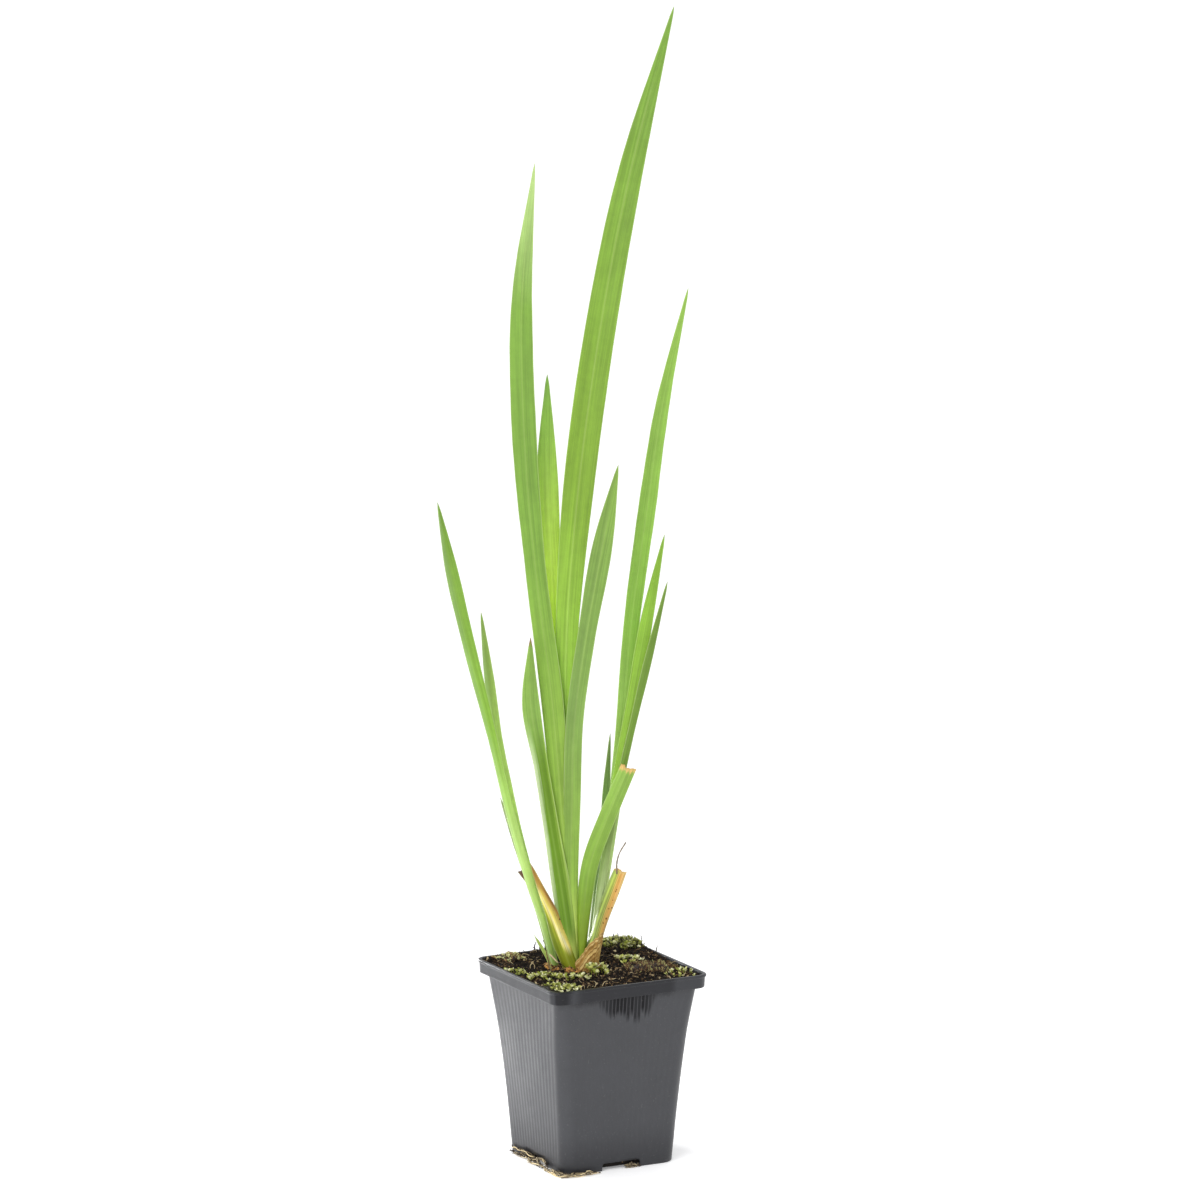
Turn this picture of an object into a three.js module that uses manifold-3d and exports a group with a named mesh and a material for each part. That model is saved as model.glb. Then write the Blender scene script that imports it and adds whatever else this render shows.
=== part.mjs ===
// A yellow flag iris growing in a square nursery pot. Millimetres, +Z up, the pot stands on z = 0.
import * as THREE from 'three';
import Module from 'manifold-3d';

const wasm = await Module();
wasm.setup();

// Nursery pot: a 9 x 9 x 10 cm square pot with a stepped lip, thin walls and slots in its foot.
const pot = {
  rim: 90,
  foot: 64.6,
  height: 100,
  lipHeight: 7,
  lipStep: 4.2,
  lipWall: 2,
  lipRise: 0.3,
  lipIn: 0.7,
  bandIn: 0.5,
  beadHeight: 1.4,
  beadRise: 0.25,
  topIn: 0.2,
  wall: 1.1,
  wallHollow: 0.9,
  floor: 1.6,
  footChamfer: 0.6,
  corner: 6.3,
  innerCorner: 5.3,
  wallCorner: 7,
  footCorner: 7.5,
  slotWidth: 22,
  slotHeight: 4,
  slotDepth: 7,
  slotRound: 1.5,
  drainRadius: 4,
  drainReach: 17,
};
const cornerSteps = 3;

// Pieces that touch keep this gap, and facets flatter than the tolerance are merged.
const gap = 0.3;
const facetTolerance = 0.05;
// The space above the rim that the soil's mounds may fill.
const headroom = 6;

// Soil: level a little under the rim, higher towards the back of the fan, lower round the rhizome.
const soil = {
  level: 98.5, rise: 2, riseFrom: 8, riseTo: 40, dip: 1.1, dipReach: 26, ripple: 0.35, cells: 8,
};

// The fan of leaves stands in a plane of its own, turned from the pot's faces.
const plantTurn = -27.9;

// A blade's section has flat margins of this half thickness. Its faces reach the swell share of
// the middle's thickness at the swell place. Its stations are this far apart.
const marginHalf = 0.12;
const swellPlace = 0.55;
const swellShare = 0.7;
const stationLength = 28;
const stationMin = 7;
const tipHalfWidth = 0.3;
// A blade's foot reaches this far below its first station, to the rhizome.
const footSink = 1.5;

// Each blade: stations from foot to tip as [x, y, z, width], in the fan's own frame, where x runs
// along the fan, y away from its front and z up. turn is the twist in degrees gained towards the
// tip. foot is half the thickness where the blade is a sheath around the younger ones, and sheath
// the height over which it thins down to blade. The younger blades come first: an older one is
// hollowed to clear them.
const bladeHalf = 0.7;
const tipThinning = 0.6;
const blades = {
  leaf_young: {
    stations: [
      [-9.5, 2, 100, 2.6], [-12, 3, 151, 4.8], [-14.5, 4, 202, 6], [-17.5, 4.5, 253, 7.7],
      [-20, 4.5, 303.5, 8.9], [-22.5, 6, 354.5, 10.8], [-22.5, 7.5, 406, 1.2],
    ],
    turn: 10, foot: 0.9, sheath: 90, material: 'youngGreen',
  },
  leaf_tallest: {
    stations: [
      [-9.5, 1.5, 100, 3.8], [-12, 2, 182, 8.3], [-13, 2, 263.5, 11.2], [-7, 2.5, 345.5, 15.7],
      [4, 5, 427.5, 15.7], [19.5, 8.5, 509, 12.3], [41.5, 13.5, 592.5, 1],
    ],
    turn: 6, foot: 1.5, sheath: 90, material: 'leafGreen',
  },
  leaf_second: {
    stations: [
      [-9, 1, 100, 4.7], [-14.5, -0.5, 169.5, 9.1], [-20, -1, 238.5, 11.4], [-28.5, -1.5, 308, 10.7],
      [-34, -3.5, 377, 12.7], [-35, -7, 446.5, 10.6], [-28.5, -13.5, 516.5, 0.8],
    ],
    turn: -14, foot: 2.1, sheath: 90, material: 'greyGreen',
  },
  leaf_centre_right: {
    stations: [
      [-8.5, 1, 100, 4.3], [-10.5, -0.5, 143.5, 7.2], [-10, -2, 187, 8.8], [-8.5, -3.5, 230.5, 8.9],
      [-2.5, -4.5, 274, 9.3], [5, -6, 317.5, 10.4], [13.5, -9.5, 362.5, 1],
    ],
    turn: -10, foot: 2.9, sheath: 80, material: 'leafGreen',
  },
  leaf_front: {
    stations: [
      [-9.5, 0.5, 100.5, 6.6], [-14.5, -1.5, 135, 9.7], [-20, -3, 169.5, 8.1], [-25.5, -4.5, 204, 7.4],
      [-31, -6.5, 238.5, 9], [-31, -9.5, 273.5, 1],
    ],
    turn: 10, foot: 4, sheath: 70, material: 'greyGreen',
  },
  leaf_right_tall: {
    stations: [
      [0.3, 8.5, 100.5, 3.6], [8.5, 7.5, 159.5, 5.6], [15.5, 7.5, 217, 7.7], [20, 8.5, 274.5, 8.2],
      [27.5, 11, 332, 9.3], [36, 15.5, 389.5, 7.2], [49, 21, 448, 1],
    ],
    turn: 18, foot: 1.4, sheath: 70, material: 'leafGreen',
  },
  leaf_right_front: {
    stations: [
      [0.3, 7, 100.5, 3.5], [6, 6, 147, 4.1], [12.5, 5, 191.5, 5.7], [20.5, 3.5, 236, 6.5],
      [28, 2, 280, 6.5], [37, -0.5, 325, 1],
    ],
    turn: -12, foot: 2, sheath: 70, material: 'leafGreen',
  },
  leaf_right_narrow: {
    stations: [
      [-0.2, 6, 100.5, 3.1], [5, 4.2, 142.5, 4.4], [11.5, 2.4, 182, 4.3], [20, 0.5, 222, 3.6],
      [29, -2, 261.5, 4.1], [38.5, -4.5, 301.5, 1],
    ],
    turn: 6, foot: 2.4, sheath: 60, material: 'leafGreen',
  },
  leaf_right_small: {
    stations: [
      [-2.3, 8.5, 100.5, 1.9], [1.5, 10, 132.5, 2.1], [5, 11.5, 161, 2.6], [7.5, 13, 189.5, 3.9],
      [9.5, 14, 219, 0.8],
    ],
    turn: 20, foot: 1.2, sheath: 40, material: 'greyGreen',
  },
  leaf_cut: {
    stations: [
      [-5.2, 0.5, 101, 3.2], [-4, -0.5, 129.5, 7.1], [-0.5, -2, 155, 8.5], [8.5, -4, 180.5, 8],
      [19, -6.5, 206, 8.2],
    ],
    turn: -8, foot: 3.4, sheath: 60, cut: 0.8, material: 'leafGreen',
  },
  leaf_left_inner: {
    stations: [
      [-19, 8, 100.5, 3.1], [-30, 8.5, 138, 4.7], [-39.5, 8.5, 174, 5.8], [-47, 9, 210, 5.3],
      [-52, 11, 245.5, 5], [-56.5, 14.5, 282, 1],
    ],
    turn: -16, foot: 1.4, sheath: 60, material: 'leafGreen',
  },
  leaf_left_outer: {
    stations: [
      [-19.5, 6.5, 100.5, 3], [-32, 5, 142.5, 4.4], [-43, 3.5, 182.5, 5.3], [-51.5, 1.5, 222.5, 6.1],
      [-61, -1, 262, 6.7], [-70, -4, 302, 6.4], [-78, -8.5, 343, 1],
    ],
    turn: 16, foot: 2.2, sheath: 60, material: 'greyGreen',
  },
  leaf_left_small: {
    stations: [
      [-21.2, 8.5, 100.5, 1.5], [-28, 9, 124.5, 1.6], [-34, 9.2, 145, 2], [-41, 8.5, 166, 2.4],
      [-46.5, 7.5, 187, 0.8],
    ],
    turn: 15, foot: 0.8, sheath: 40, material: 'greyGreen',
  },
  sheath_withered: {
    stations: [
      [-21.8, 10.5, 100.5, 2], [-27, 12, 118, 2], [-31, 12.5, 133, 2], [-38, 12, 148, 1.6],
    ],
    turn: 0, foot: 0.8, sheath: 30, cut: 0.4, material: 'drySkin',
  },
  sheath_left: {
    stations: [
      [-10.5, 0, 100, 8.8], [-15.5, -1.5, 113.5, 9.7], [-20, -2.8, 127.5, 6.4],
      [-25.5, -3.6, 141, 2.8], [-31.5, -4, 155, 0.9],
    ],
    turn: 8, foot: 5.2, sheath: 40, material: 'yellowSheath',
  },
  sheath_right: {
    stations: [
      [-2.5, 2, 99.5, 11.6], [1.5, 2.5, 112, 7], [5.5, 2.4, 125, 6.8], [10, 2, 137.5, 7.4],
      [15, 1.6, 150.5, 6.7],
    ],
    turn: -10, foot: 6, sheath: 45, cut: 0.5, material: 'brownSheath',
  },
  leaf_sprout: {
    stations: [
      [-21, -3.5, 99, 1.2], [-22.5, -3.5, 104.5, 1.7], [-25.5, -3.5, 110, 1.6],
      [-29, -3.5, 115.5, 0.6],
    ],
    turn: 20, foot: 0.7, sheath: 12, material: 'youngGreen',
  },
};

// A withered thread hangs on the right sheath: [x, y, z] from its foot to its tip.
const thread = {
  route: [[12.8, 1.2, 148], [12.9, 0.4, 154], [14.3, -1, 159.6], [17.5, -2, 165.3]], radius: 0.35,
};
// Round threads and roots have this many sides and lengths.
const tubeSides = 5;
const tubeSteps = 7;

// The rhizome is one lump with a lobe under each group of leaves: centre and radii, fan's frame.
const rhizomeLobes = [
  { centre: [-7.5, 1, 93.6], radii: [13.5, 8.5, 6.2] },
  { centre: [-21, 8, 94], radii: [8, 7.5, 5.8] },
  { centre: [1, 7.5, 94], radii: [8, 6.5, 5.6] },
];

// Cushions of moss and seedlings: centre on the soil, radii and material, fan's frame.
const cushions = {
  moss_mound: { centre: [17, 46, 100.4], radii: [17, 11, 3.8], material: 'mossGreen' },
  moss_patch: { centre: [30, 0, 98.8], radii: [15, 12, 2.6], material: 'mossBrown' },
  moss_corner: { centre: [-18, -47, 99], radii: [12, 9, 2.6], material: 'mossGreen' },
  moss_left: { centre: [-43, 20, 99.2], radii: [8, 9, 2.4], material: 'mossBrown' },
  seedlings_front: { centre: [-24, -22, 98.6], radii: [9, 7, 3], material: 'seedlingGreen' },
  seedlings_middle: { centre: [-7, -24, 98.6], radii: [6, 6, 3], material: 'seedlingGreen' },
  seedlings_bright: { centre: [2.5, -10, 98.4], radii: [6, 6, 4.4], material: 'seedlingGreen' },
  seedlings_right: { centre: [18, 16, 98.6], radii: [8, 6, 3], material: 'seedlingGreen' },
  seedlings_rim: { centre: [46, -14, 99.2], radii: [8, 7, 2.4], material: 'seedlingGreen' },
  seedlings_left: { centre: [-40, -13, 99], radii: [7, 7, 2.4], material: 'seedlingGreen' },
};
const lumpSides = 12;

// Fine roots creep out of the slots and lie round the pot's foot. In each tuft the roots part from
// one stem point: that point, then each root's route from it, in the pot's frame.
const rootRadius = 0.6;
const roots = {
  roots_left: {
    stem: [-30.2, 2, 1],
    routes: [
      [[-34, 4, 1.2], [-35.8, 1, 1.2], [-36.2, -7, 0.9], [-35.5, -17, 0.9], [-34.8, -25, 0.9]],
      [[-34, -1, 1.8], [-35, -6, 2.6], [-36.4, -13, 2.2], [-35.6, -21, 2.6]],
      [[-34, 7, 1.6], [-35, 13, 1.6], [-35.2, 20, 0.9], [-34.4, 26, 0.9]],
    ],
  },
  roots_front: {
    stem: [-36.7, -18, 1],
    routes: [
      [[-38.5, -28, 0.9], [-36, -37.5, 0.9], [-26, -38.5, 0.9], [-14, -37, 0.9]],
      [[-36.8, -29, 1.8], [-34, -35.6, 2], [-26, -35.9, 1.4], [-17, -35.4, 0.9], [-8, -35, 0.9]],
    ],
  },
  roots_right: {
    stem: [4, -30.2, 1],
    routes: [
      [[6, -34, 1], [8, -35.4, 0.9], [11, -36, 0.9]],
      [[2, -34, 1], [0, -35.4, 0.9], [-4, -36, 0.9]],
    ],
  },
};

const materials = {
  potPlastic: { color: 0x2b2b2f, roughness: 0.42, metalness: 0 },
  peat: { color: 0x1d1712, roughness: 0.95, metalness: 0 },
  rhizomeSkin: { color: 0x8a5a2c, roughness: 0.8, metalness: 0 },
  leafGreen: { color: 0x7da63c, roughness: 0.45, metalness: 0 },
  greyGreen: { color: 0x85a552, roughness: 0.5, metalness: 0 },
  youngGreen: { color: 0xa6c93a, roughness: 0.45, metalness: 0 },
  yellowSheath: { color: 0xc9b83f, roughness: 0.5, metalness: 0 },
  brownSheath: { color: 0xb5803a, roughness: 0.7, metalness: 0 },
  drySkin: { color: 0x8c7050, roughness: 0.85, metalness: 0 },
  mossGreen: { color: 0x7f8f3c, roughness: 0.95, metalness: 0 },
  mossBrown: { color: 0x6f5636, roughness: 0.95, metalness: 0 },
  seedlingGreen: { color: 0xb4c75a, roughness: 0.7, metalness: 0 },
  rootSkin: { color: 0xc8b184, roughness: 0.8, metalness: 0 },
};

const radians = THREE.MathUtils.degToRad;
const smooth = (x) => THREE.MathUtils.smoothstep(x, 0, 1);

// A closed solid through rings of equal length, each ring anticlockwise seen from the next one.
function loft(rings) {
  const count = rings[0].length;
  const vertices = rings.flat().flatMap((p) => [p.x, p.y, p.z]);
  const triangles = [];
  for (let i = 0; i + 1 < rings.length; i += 1) {
    for (let j = 0; j < count; j += 1) {
      const a = i * count + j;
      const b = i * count + (j + 1) % count;
      triangles.push(a, b, b + count, a, b + count, a + count);
    }
  }
  const last = (rings.length - 1) * count;
  for (let j = 1; j + 1 < count; j += 1) {
    triangles.push(0, j + 1, j, last, last + j, last + j + 1);
  }
  return solidOf(vertices, triangles);
}

function solidOf(vertices, triangles) {
  return new wasm.Manifold(new wasm.Mesh({
    numProp: 3,
    vertProperties: new Float32Array(vertices),
    triVerts: new Uint32Array(triangles),
  }));
}

// A square ring with round corners, centred on the pot's axis.
function squareRing(side, corner, z) {
  const ring = [];
  const reach = side / 2 - corner;
  for (let quarter = 0; quarter < 4; quarter += 1) {
    const middle = (quarter + 0.5) * Math.PI / 2;
    const x = reach * Math.sign(Math.cos(middle));
    const y = reach * Math.sign(Math.sin(middle));
    for (let step = 0; step <= cornerSteps; step += 1) {
      const angle = (quarter + step / cornerSteps) * Math.PI / 2;
      ring.push(new THREE.Vector3(x + corner * Math.cos(angle), y + corner * Math.sin(angle), z));
    }
  }
  return ring;
}

// The pot's width outside at a height below the lip: it tapers, and each thin wall draws in by the
// hollow half way up.
function wallSide(z) {
  const wallTop = pot.rim - 2 * pot.lipStep;
  const share = z / (pot.height - pot.lipHeight);
  const hollow = 4 * pot.wallHollow * share * (1 - share);
  return pot.foot + (wallTop - pot.foot) * share - 2 * hollow;
}

const wallLevels = [0.25, 0.5, 0.75].map((share) => share * (pot.height - pot.lipHeight));

function potOutside() {
  const lip = pot.height - pot.lipHeight;
  const bead = pot.height - pot.beadHeight;
  return loft([
    squareRing(pot.foot - 2 * pot.footChamfer, pot.footCorner, 0),
    squareRing(wallSide(pot.footChamfer), pot.footCorner, pot.footChamfer),
    ...wallLevels.map((z) => squareRing(wallSide(z), pot.wallCorner, z)),
    squareRing(wallSide(lip), pot.innerCorner, lip),
    squareRing(pot.rim - 2 * pot.lipIn, pot.corner, lip + pot.lipRise),
    squareRing(pot.rim - 2 * pot.bandIn, pot.corner, bead),
    squareRing(pot.rim, pot.corner, bead + pot.beadRise),
    squareRing(pot.rim - 2 * pot.topIn, pot.corner, pot.height),
  ]);
}

// The hollow of the pot, drawn in by inset, which the soil fills.
function potInside(inset) {
  const lip = pot.height - pot.lipHeight;
  const thin = 2 * (pot.wall + inset);
  const lipInside = pot.rim - 2 * pot.lipIn - thin;
  return loft([
    squareRing(wallSide(pot.floor) - thin, pot.footCorner, pot.floor + inset),
    ...wallLevels.map((z) => squareRing(wallSide(z) - thin, pot.wallCorner, z)),
    squareRing(wallSide(lip) - thin, pot.innerCorner, lip + inset),
    squareRing(lipInside, pot.innerCorner, lip + pot.lipWall + inset),
    squareRing(lipInside, pot.innerCorner, pot.height + headroom),
  ]);
}

// A slot in the middle of each side of the foot, with round upper corners.
function footSlot() {
  const half = pot.slotWidth / 2;
  const shape = new THREE.Shape();
  shape.moveTo(-half, -1);
  shape.lineTo(half, -1);
  shape.lineTo(half, pot.slotHeight - pot.slotRound);
  shape.absarc(half - pot.slotRound, pot.slotHeight - pot.slotRound, pot.slotRound, 0, Math.PI / 2);
  shape.absarc(pot.slotRound - half, pot.slotHeight - pot.slotRound, pot.slotRound, Math.PI / 2, Math.PI);
  const outline = shape.getPoints(3).map((p) => [p.x, p.y]);
  return wasm.Manifold.extrude([outline], pot.slotDepth).rotate([90, 0, 0])
    .translate([0, pot.slotDepth / 2 - pot.foot / 2, 0]);
}

function potSolid() {
  let solid = potOutside().subtract(potInside(0));
  for (let side = 0; side < 4; side += 1) {
    const drain = wasm.Manifold.cylinder(2 * pot.floor, pot.drainRadius, pot.drainRadius, 16, true)
      .translate([pot.drainReach, pot.drainReach, 0.5]);
    solid = solid.subtract(footSlot().rotate([0, 0, 90 * side]));
    solid = solid.subtract(drain.rotate([0, 0, 90 * side]));
  }
  return solid;
}

// Height of the soil at a place in the pot's frame.
function soilHeight(x, y) {
  const turn = radians(plantTurn);
  const back = y * Math.cos(turn) - x * Math.sin(turn);
  const rise = soil.rise * THREE.MathUtils.smoothstep(back, soil.riseFrom, soil.riseTo);
  const dip = soil.dip * smooth(1 - Math.hypot(x, y) / soil.dipReach);
  const ripple = Math.sin(0.31 * x + 0.7) * Math.cos(0.27 * y) + 0.6 * Math.sin(0.55 * y - 0.41 * x);
  return soil.level + rise - dip + soil.ripple * ripple;
}

// A block with the soil's surface as its top.
function soilBlock() {
  const across = soil.cells + 1;
  const vertices = [];
  const triangles = [];
  const index = (i, j, top) => 2 * (i * across + j) + top;
  for (let i = 0; i < across; i += 1) {
    for (let j = 0; j < across; j += 1) {
      const x = pot.rim * (i / soil.cells - 0.5);
      const y = pot.rim * (j / soil.cells - 0.5);
      vertices.push(x, y, 0, x, y, soilHeight(x, y));
    }
  }
  const quad = (a, b, c, d) => triangles.push(a, b, c, a, c, d);
  for (let i = 0; i < soil.cells; i += 1) {
    for (let j = 0; j < soil.cells; j += 1) {
      quad(index(i, j, 1), index(i + 1, j, 1), index(i + 1, j + 1, 1), index(i, j + 1, 1));
      quad(index(i, j, 0), index(i, j + 1, 0), index(i + 1, j + 1, 0), index(i + 1, j, 0));
    }
  }
  const end = soil.cells;
  for (let i = 0; i < end; i += 1) {
    quad(index(i, 0, 0), index(i + 1, 0, 0), index(i + 1, 0, 1), index(i, 0, 1));
    quad(index(i + 1, end, 0), index(i, end, 0), index(i, end, 1), index(i + 1, end, 1));
    quad(index(0, i + 1, 0), index(0, i, 0), index(0, i, 1), index(0, i + 1, 1));
    quad(index(end, i, 0), index(end, i + 1, 0), index(end, i + 1, 1), index(end, i, 1));
  }
  return solidOf(vertices, triangles);
}

// A value along a blade, smoothly through the values at its evenly spaced stations.
function along(values, share) {
  const last = values.length - 1;
  const cell = Math.min(Math.floor(share * last), last - 1);
  const slope = (k) => (values[Math.min(k + 1, last)] - values[Math.max(k - 1, 0)])
    / (Math.min(k + 1, last) - Math.max(k - 1, 0));
  const u = share * last - cell;
  const cubic = (2 * u ** 3 - 3 * u ** 2 + 1) * values[cell] + (u ** 3 - 2 * u ** 2 + u) * slope(cell);
  return cubic + (3 * u ** 2 - 2 * u ** 3) * values[cell + 1] + (u ** 3 - u ** 2) * slope(cell + 1);
}

// A blade's lens section: margins of even thickness, faces that swell to the middle.
function bladeRing(centre, across, behind, halfWidth, halfDepth, edge) {
  const swell = edge + swellShare * (halfDepth - edge);
  const outline = [
    [1, -edge], [1, edge], [swellPlace, swell], [0, halfDepth], [-swellPlace, swell],
    [-1, edge], [-1, -edge], [-swellPlace, -swell], [0, -halfDepth], [swellPlace, -swell],
  ];
  return outline.map(([u, depth]) => centre.clone()
    .addScaledVector(across, u * halfWidth)
    .addScaledVector(behind, depth));
}

// The solid of a blade, made larger all round by grow where it is used as a cutter.
function bladeSolid(blade, grow) {
  const points = blade.stations.map(([x, y, z]) => new THREE.Vector3(x, y, z));
  const widths = blade.stations.map((station) => station[3]);
  const curve = new THREE.CatmullRomCurve3(points, false, 'centripetal');
  const length = curve.getLength();
  const steps = Math.max(stationMin, Math.round(length / stationLength));
  const rings = [];
  for (let i = -1; i <= steps; i += 1) {
    const share = Math.max(i, 0) / steps;
    const centre = curve.getPointAt(share);
    const tangent = curve.getTangentAt(share);
    const sink = i < 0 ? footSink + grow : 0;
    centre.addScaledVector(tangent, -sink);
    centre.addScaledVector(tangent, i === steps ? grow : 0);
    const yaw = radians(blade.turn) * smooth(share);
    const across = new THREE.Vector3(Math.cos(yaw), Math.sin(yaw), 0);
    across.addScaledVector(tangent, -across.dot(tangent)).normalize();
    const behind = tangent.clone().cross(across);
    const thin = blade.cut ? blade.cut : bladeHalf * (1 - tipThinning * share);
    const halfDepth = thin + (blade.foot - thin) * (1 - smooth(share * length / blade.sheath));
    const halfWidth = Math.max(along(widths, share) / 2, tipHalfWidth);
    const edge = marginHalf + grow;
    rings.push(bladeRing(centre, across, behind, halfWidth + grow, halfDepth + grow, edge));
  }
  return loft(rings);
}

// A round tube along a route.
function tubeSolid(route, radius, grow) {
  const points = route.map((p) => new THREE.Vector3(...p));
  const curve = new THREE.CatmullRomCurve3(points, false, 'centripetal');
  const rings = [];
  for (let i = 0; i <= tubeSteps; i += 1) {
    const centre = curve.getPointAt(i / tubeSteps);
    const tangent = curve.getTangentAt(i / tubeSteps);
    const across = new THREE.Vector3(0, 0, 1).cross(tangent);
    if (across.length() < 0.5) {
      across.set(1, 0, 0);
    }
    across.addScaledVector(tangent, -across.dot(tangent)).normalize();
    const behind = tangent.clone().cross(across);
    const ring = [];
    for (let k = 0; k < tubeSides; k += 1) {
      const angle = 2 * Math.PI * k / tubeSides;
      ring.push(centre.clone()
        .addScaledVector(across, (radius + grow) * Math.cos(angle))
        .addScaledVector(behind, (radius + grow) * Math.sin(angle)));
    }
    rings.push(ring);
  }
  return loft(rings);
}

function lump(centre, radii, grow) {
  return wasm.Manifold.sphere(1, lumpSides).scale(radii.map((r) => r + grow)).translate(centre);
}

function rhizomeSolid(grow) {
  return wasm.Manifold.union(rhizomeLobes.map((lobe) => lump(lobe.centre, lobe.radii, grow)));
}

// What is left of a solid after cutting, without loose slivers or needless facets.
function largest(solid) {
  const pieces = solid.decompose().sort((a, b) => b.volume() - a.volume());
  return pieces[0].simplify(facetTolerance);
}

function meshOf(name, solid, material) {
  const { vertProperties, triVerts, numProp } = solid.getMesh();
  const geometry = new THREE.BufferGeometry();
  const position = new Float32Array(vertProperties.length / numProp * 3);
  for (let i = 0; i < position.length / 3; i += 1) {
    position.set(vertProperties.subarray(i * numProp, i * numProp + 3), 3 * i);
  }
  geometry.setAttribute('position', new THREE.BufferAttribute(position, 3));
  geometry.setIndex(new THREE.BufferAttribute(new Uint32Array(triVerts), 1));
  const mesh = new THREE.Mesh(geometry, new THREE.MeshStandardMaterial(materials[material]));
  mesh.name = name;
  return mesh;
}

// The rhizome, then the blades from the youngest out, each clear of all before it.
function addPlant(group) {
  let taken = rhizomeSolid(gap);
  group.add(meshOf('rhizome', rhizomeSolid(0), 'rhizomeSkin'));
  for (const [name, blade] of Object.entries(blades)) {
    group.add(meshOf(name, largest(bladeSolid(blade, 0).subtract(taken)), blade.material));
    taken = taken.add(bladeSolid(blade, gap));
  }
  const strand = tubeSolid(thread.route, thread.radius, 0);
  group.add(meshOf('withered_thread', largest(strand.subtract(taken)), 'drySkin'));
  return taken;
}

// Cushions in the plant's frame, kept inside the rim and clear of the leaves and each other.
function addCushions(group, taken) {
  const bed = potInside(gap).rotate([0, 0, -plantTurn]);
  let filled = taken;
  for (const [name, cushion] of Object.entries(cushions)) {
    const whole = lump(cushion.centre, cushion.radii, 0).intersect(bed);
    const solid = largest(whole.subtract(filled));
    group.add(meshOf(name, solid, cushion.material));
    filled = filled.add(lump(cushion.centre, cushion.radii, gap));
  }
  return filled;
}

function addRoots(group) {
  const taken = [];
  for (const [name, tuft] of Object.entries(roots)) {
    const routes = tuft.routes.map((route) => [tuft.stem, ...route]);
    const tubes = wasm.Manifold.union(routes.map((route) => tubeSolid(route, rootRadius, 0)));
    group.add(meshOf(name, largest(taken.reduce((left, cut) => left.subtract(cut), tubes)), 'rootSkin'));
    taken.push(wasm.Manifold.union(routes.map((route) => tubeSolid(route, rootRadius, gap))));
  }
}

const iris = new THREE.Group();
const plant = new THREE.Group();
plant.rotation.z = radians(plantTurn);
iris.add(plant);

iris.add(meshOf('pot', potSolid(), 'potPlastic'));
const pockets = addCushions(plant, addPlant(plant)).rotate([0, 0, plantTurn]);
iris.add(meshOf('soil', largest(potInside(gap).intersect(soilBlock()).subtract(pockets)), 'peat'));
addRoots(iris);

export default iris;
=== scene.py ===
# Yellow flag iris in a square nursery pot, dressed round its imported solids.
# Sizes in the dictionaries are millimetres; fan sizes are in the fan's own frame.
import math

import bpy
import numpy as np
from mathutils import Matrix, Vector


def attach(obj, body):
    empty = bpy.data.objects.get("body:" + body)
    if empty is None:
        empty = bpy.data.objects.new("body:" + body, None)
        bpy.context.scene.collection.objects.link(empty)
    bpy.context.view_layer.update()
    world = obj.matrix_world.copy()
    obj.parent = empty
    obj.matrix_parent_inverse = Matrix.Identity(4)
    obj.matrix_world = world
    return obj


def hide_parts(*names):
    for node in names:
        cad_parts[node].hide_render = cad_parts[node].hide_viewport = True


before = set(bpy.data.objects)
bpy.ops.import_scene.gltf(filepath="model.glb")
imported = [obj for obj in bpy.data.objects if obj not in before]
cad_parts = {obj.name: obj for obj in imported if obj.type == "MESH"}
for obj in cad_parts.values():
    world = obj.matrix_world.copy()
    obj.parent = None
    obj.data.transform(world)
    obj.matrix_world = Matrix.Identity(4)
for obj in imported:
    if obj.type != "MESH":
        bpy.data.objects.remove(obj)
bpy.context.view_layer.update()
print("frame loaded,", len(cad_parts), "nodes")

mm = 0.001
fanTurn = math.radians(-27.9)
goldenTurn = math.pi * (3 - math.sqrt(5))


# ---- shapes ----

# Smooth step: 3t^2 - 2t^3 between low and high.
def smoothStep(value, low=0.0, high=1.0):
    t = np.clip((value - low) / (high - low), 0, 1)
    return t * t * (3 - 2 * t)


# Smooth noise: a mean of sine waves, each along a random direction with a random phase.
def ripples(points, wavelength, seed, waves=7):
    rng = np.random.default_rng(seed)
    directions = rng.normal(size=(waves, 3))
    directions /= np.linalg.norm(directions, axis=1, keepdims=True)
    lengths = wavelength * rng.uniform(0.6, 1.5, waves)
    phases = rng.uniform(0, 2 * math.pi, waves)
    angles = points @ (directions * 2 * math.pi / lengths[:, None]).T + phases
    return np.sin(angles).sum(-1) / math.sqrt(waves)


# Turns points from the fan's frame to the pot's: a rotation about z.
def fromFan(points):
    c, s = math.cos(fanTurn), math.sin(fanTurn)
    x, y, z = points[..., 0], points[..., 1], points[..., 2]
    return np.stack([c * x - s * y, s * x + c * y, z], -1)


# Quads of a grid of rows and columns whose columns close on themselves.
def ringQuads(rows, columns):
    a = np.arange(rows - 1)[:, None] * columns + np.arange(columns)
    b = np.arange(rows - 1)[:, None] * columns + (np.arange(columns) + 1) % columns
    return np.stack([a, b, b + columns, a + columns], -1).reshape(-1, 4)


# A closed form from rings: rows of rings, and a pole at each end.
def ringsWithPoles(rings, startPole, endPole):
    rows, columns = rings.shape[:2]
    points = np.concatenate([rings.reshape(-1, 3), [startPole], [endPole]])
    j = np.arange(columns)
    k = (j + 1) % columns
    last = (rows - 1) * columns
    start = np.stack([k, j, np.full(columns, rows * columns)], -1)
    end = np.stack([last + j, last + k, np.full(columns, rows * columns + 1)], -1)
    return points, [ringQuads(rows, columns), np.concatenate([start, end])]


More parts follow.
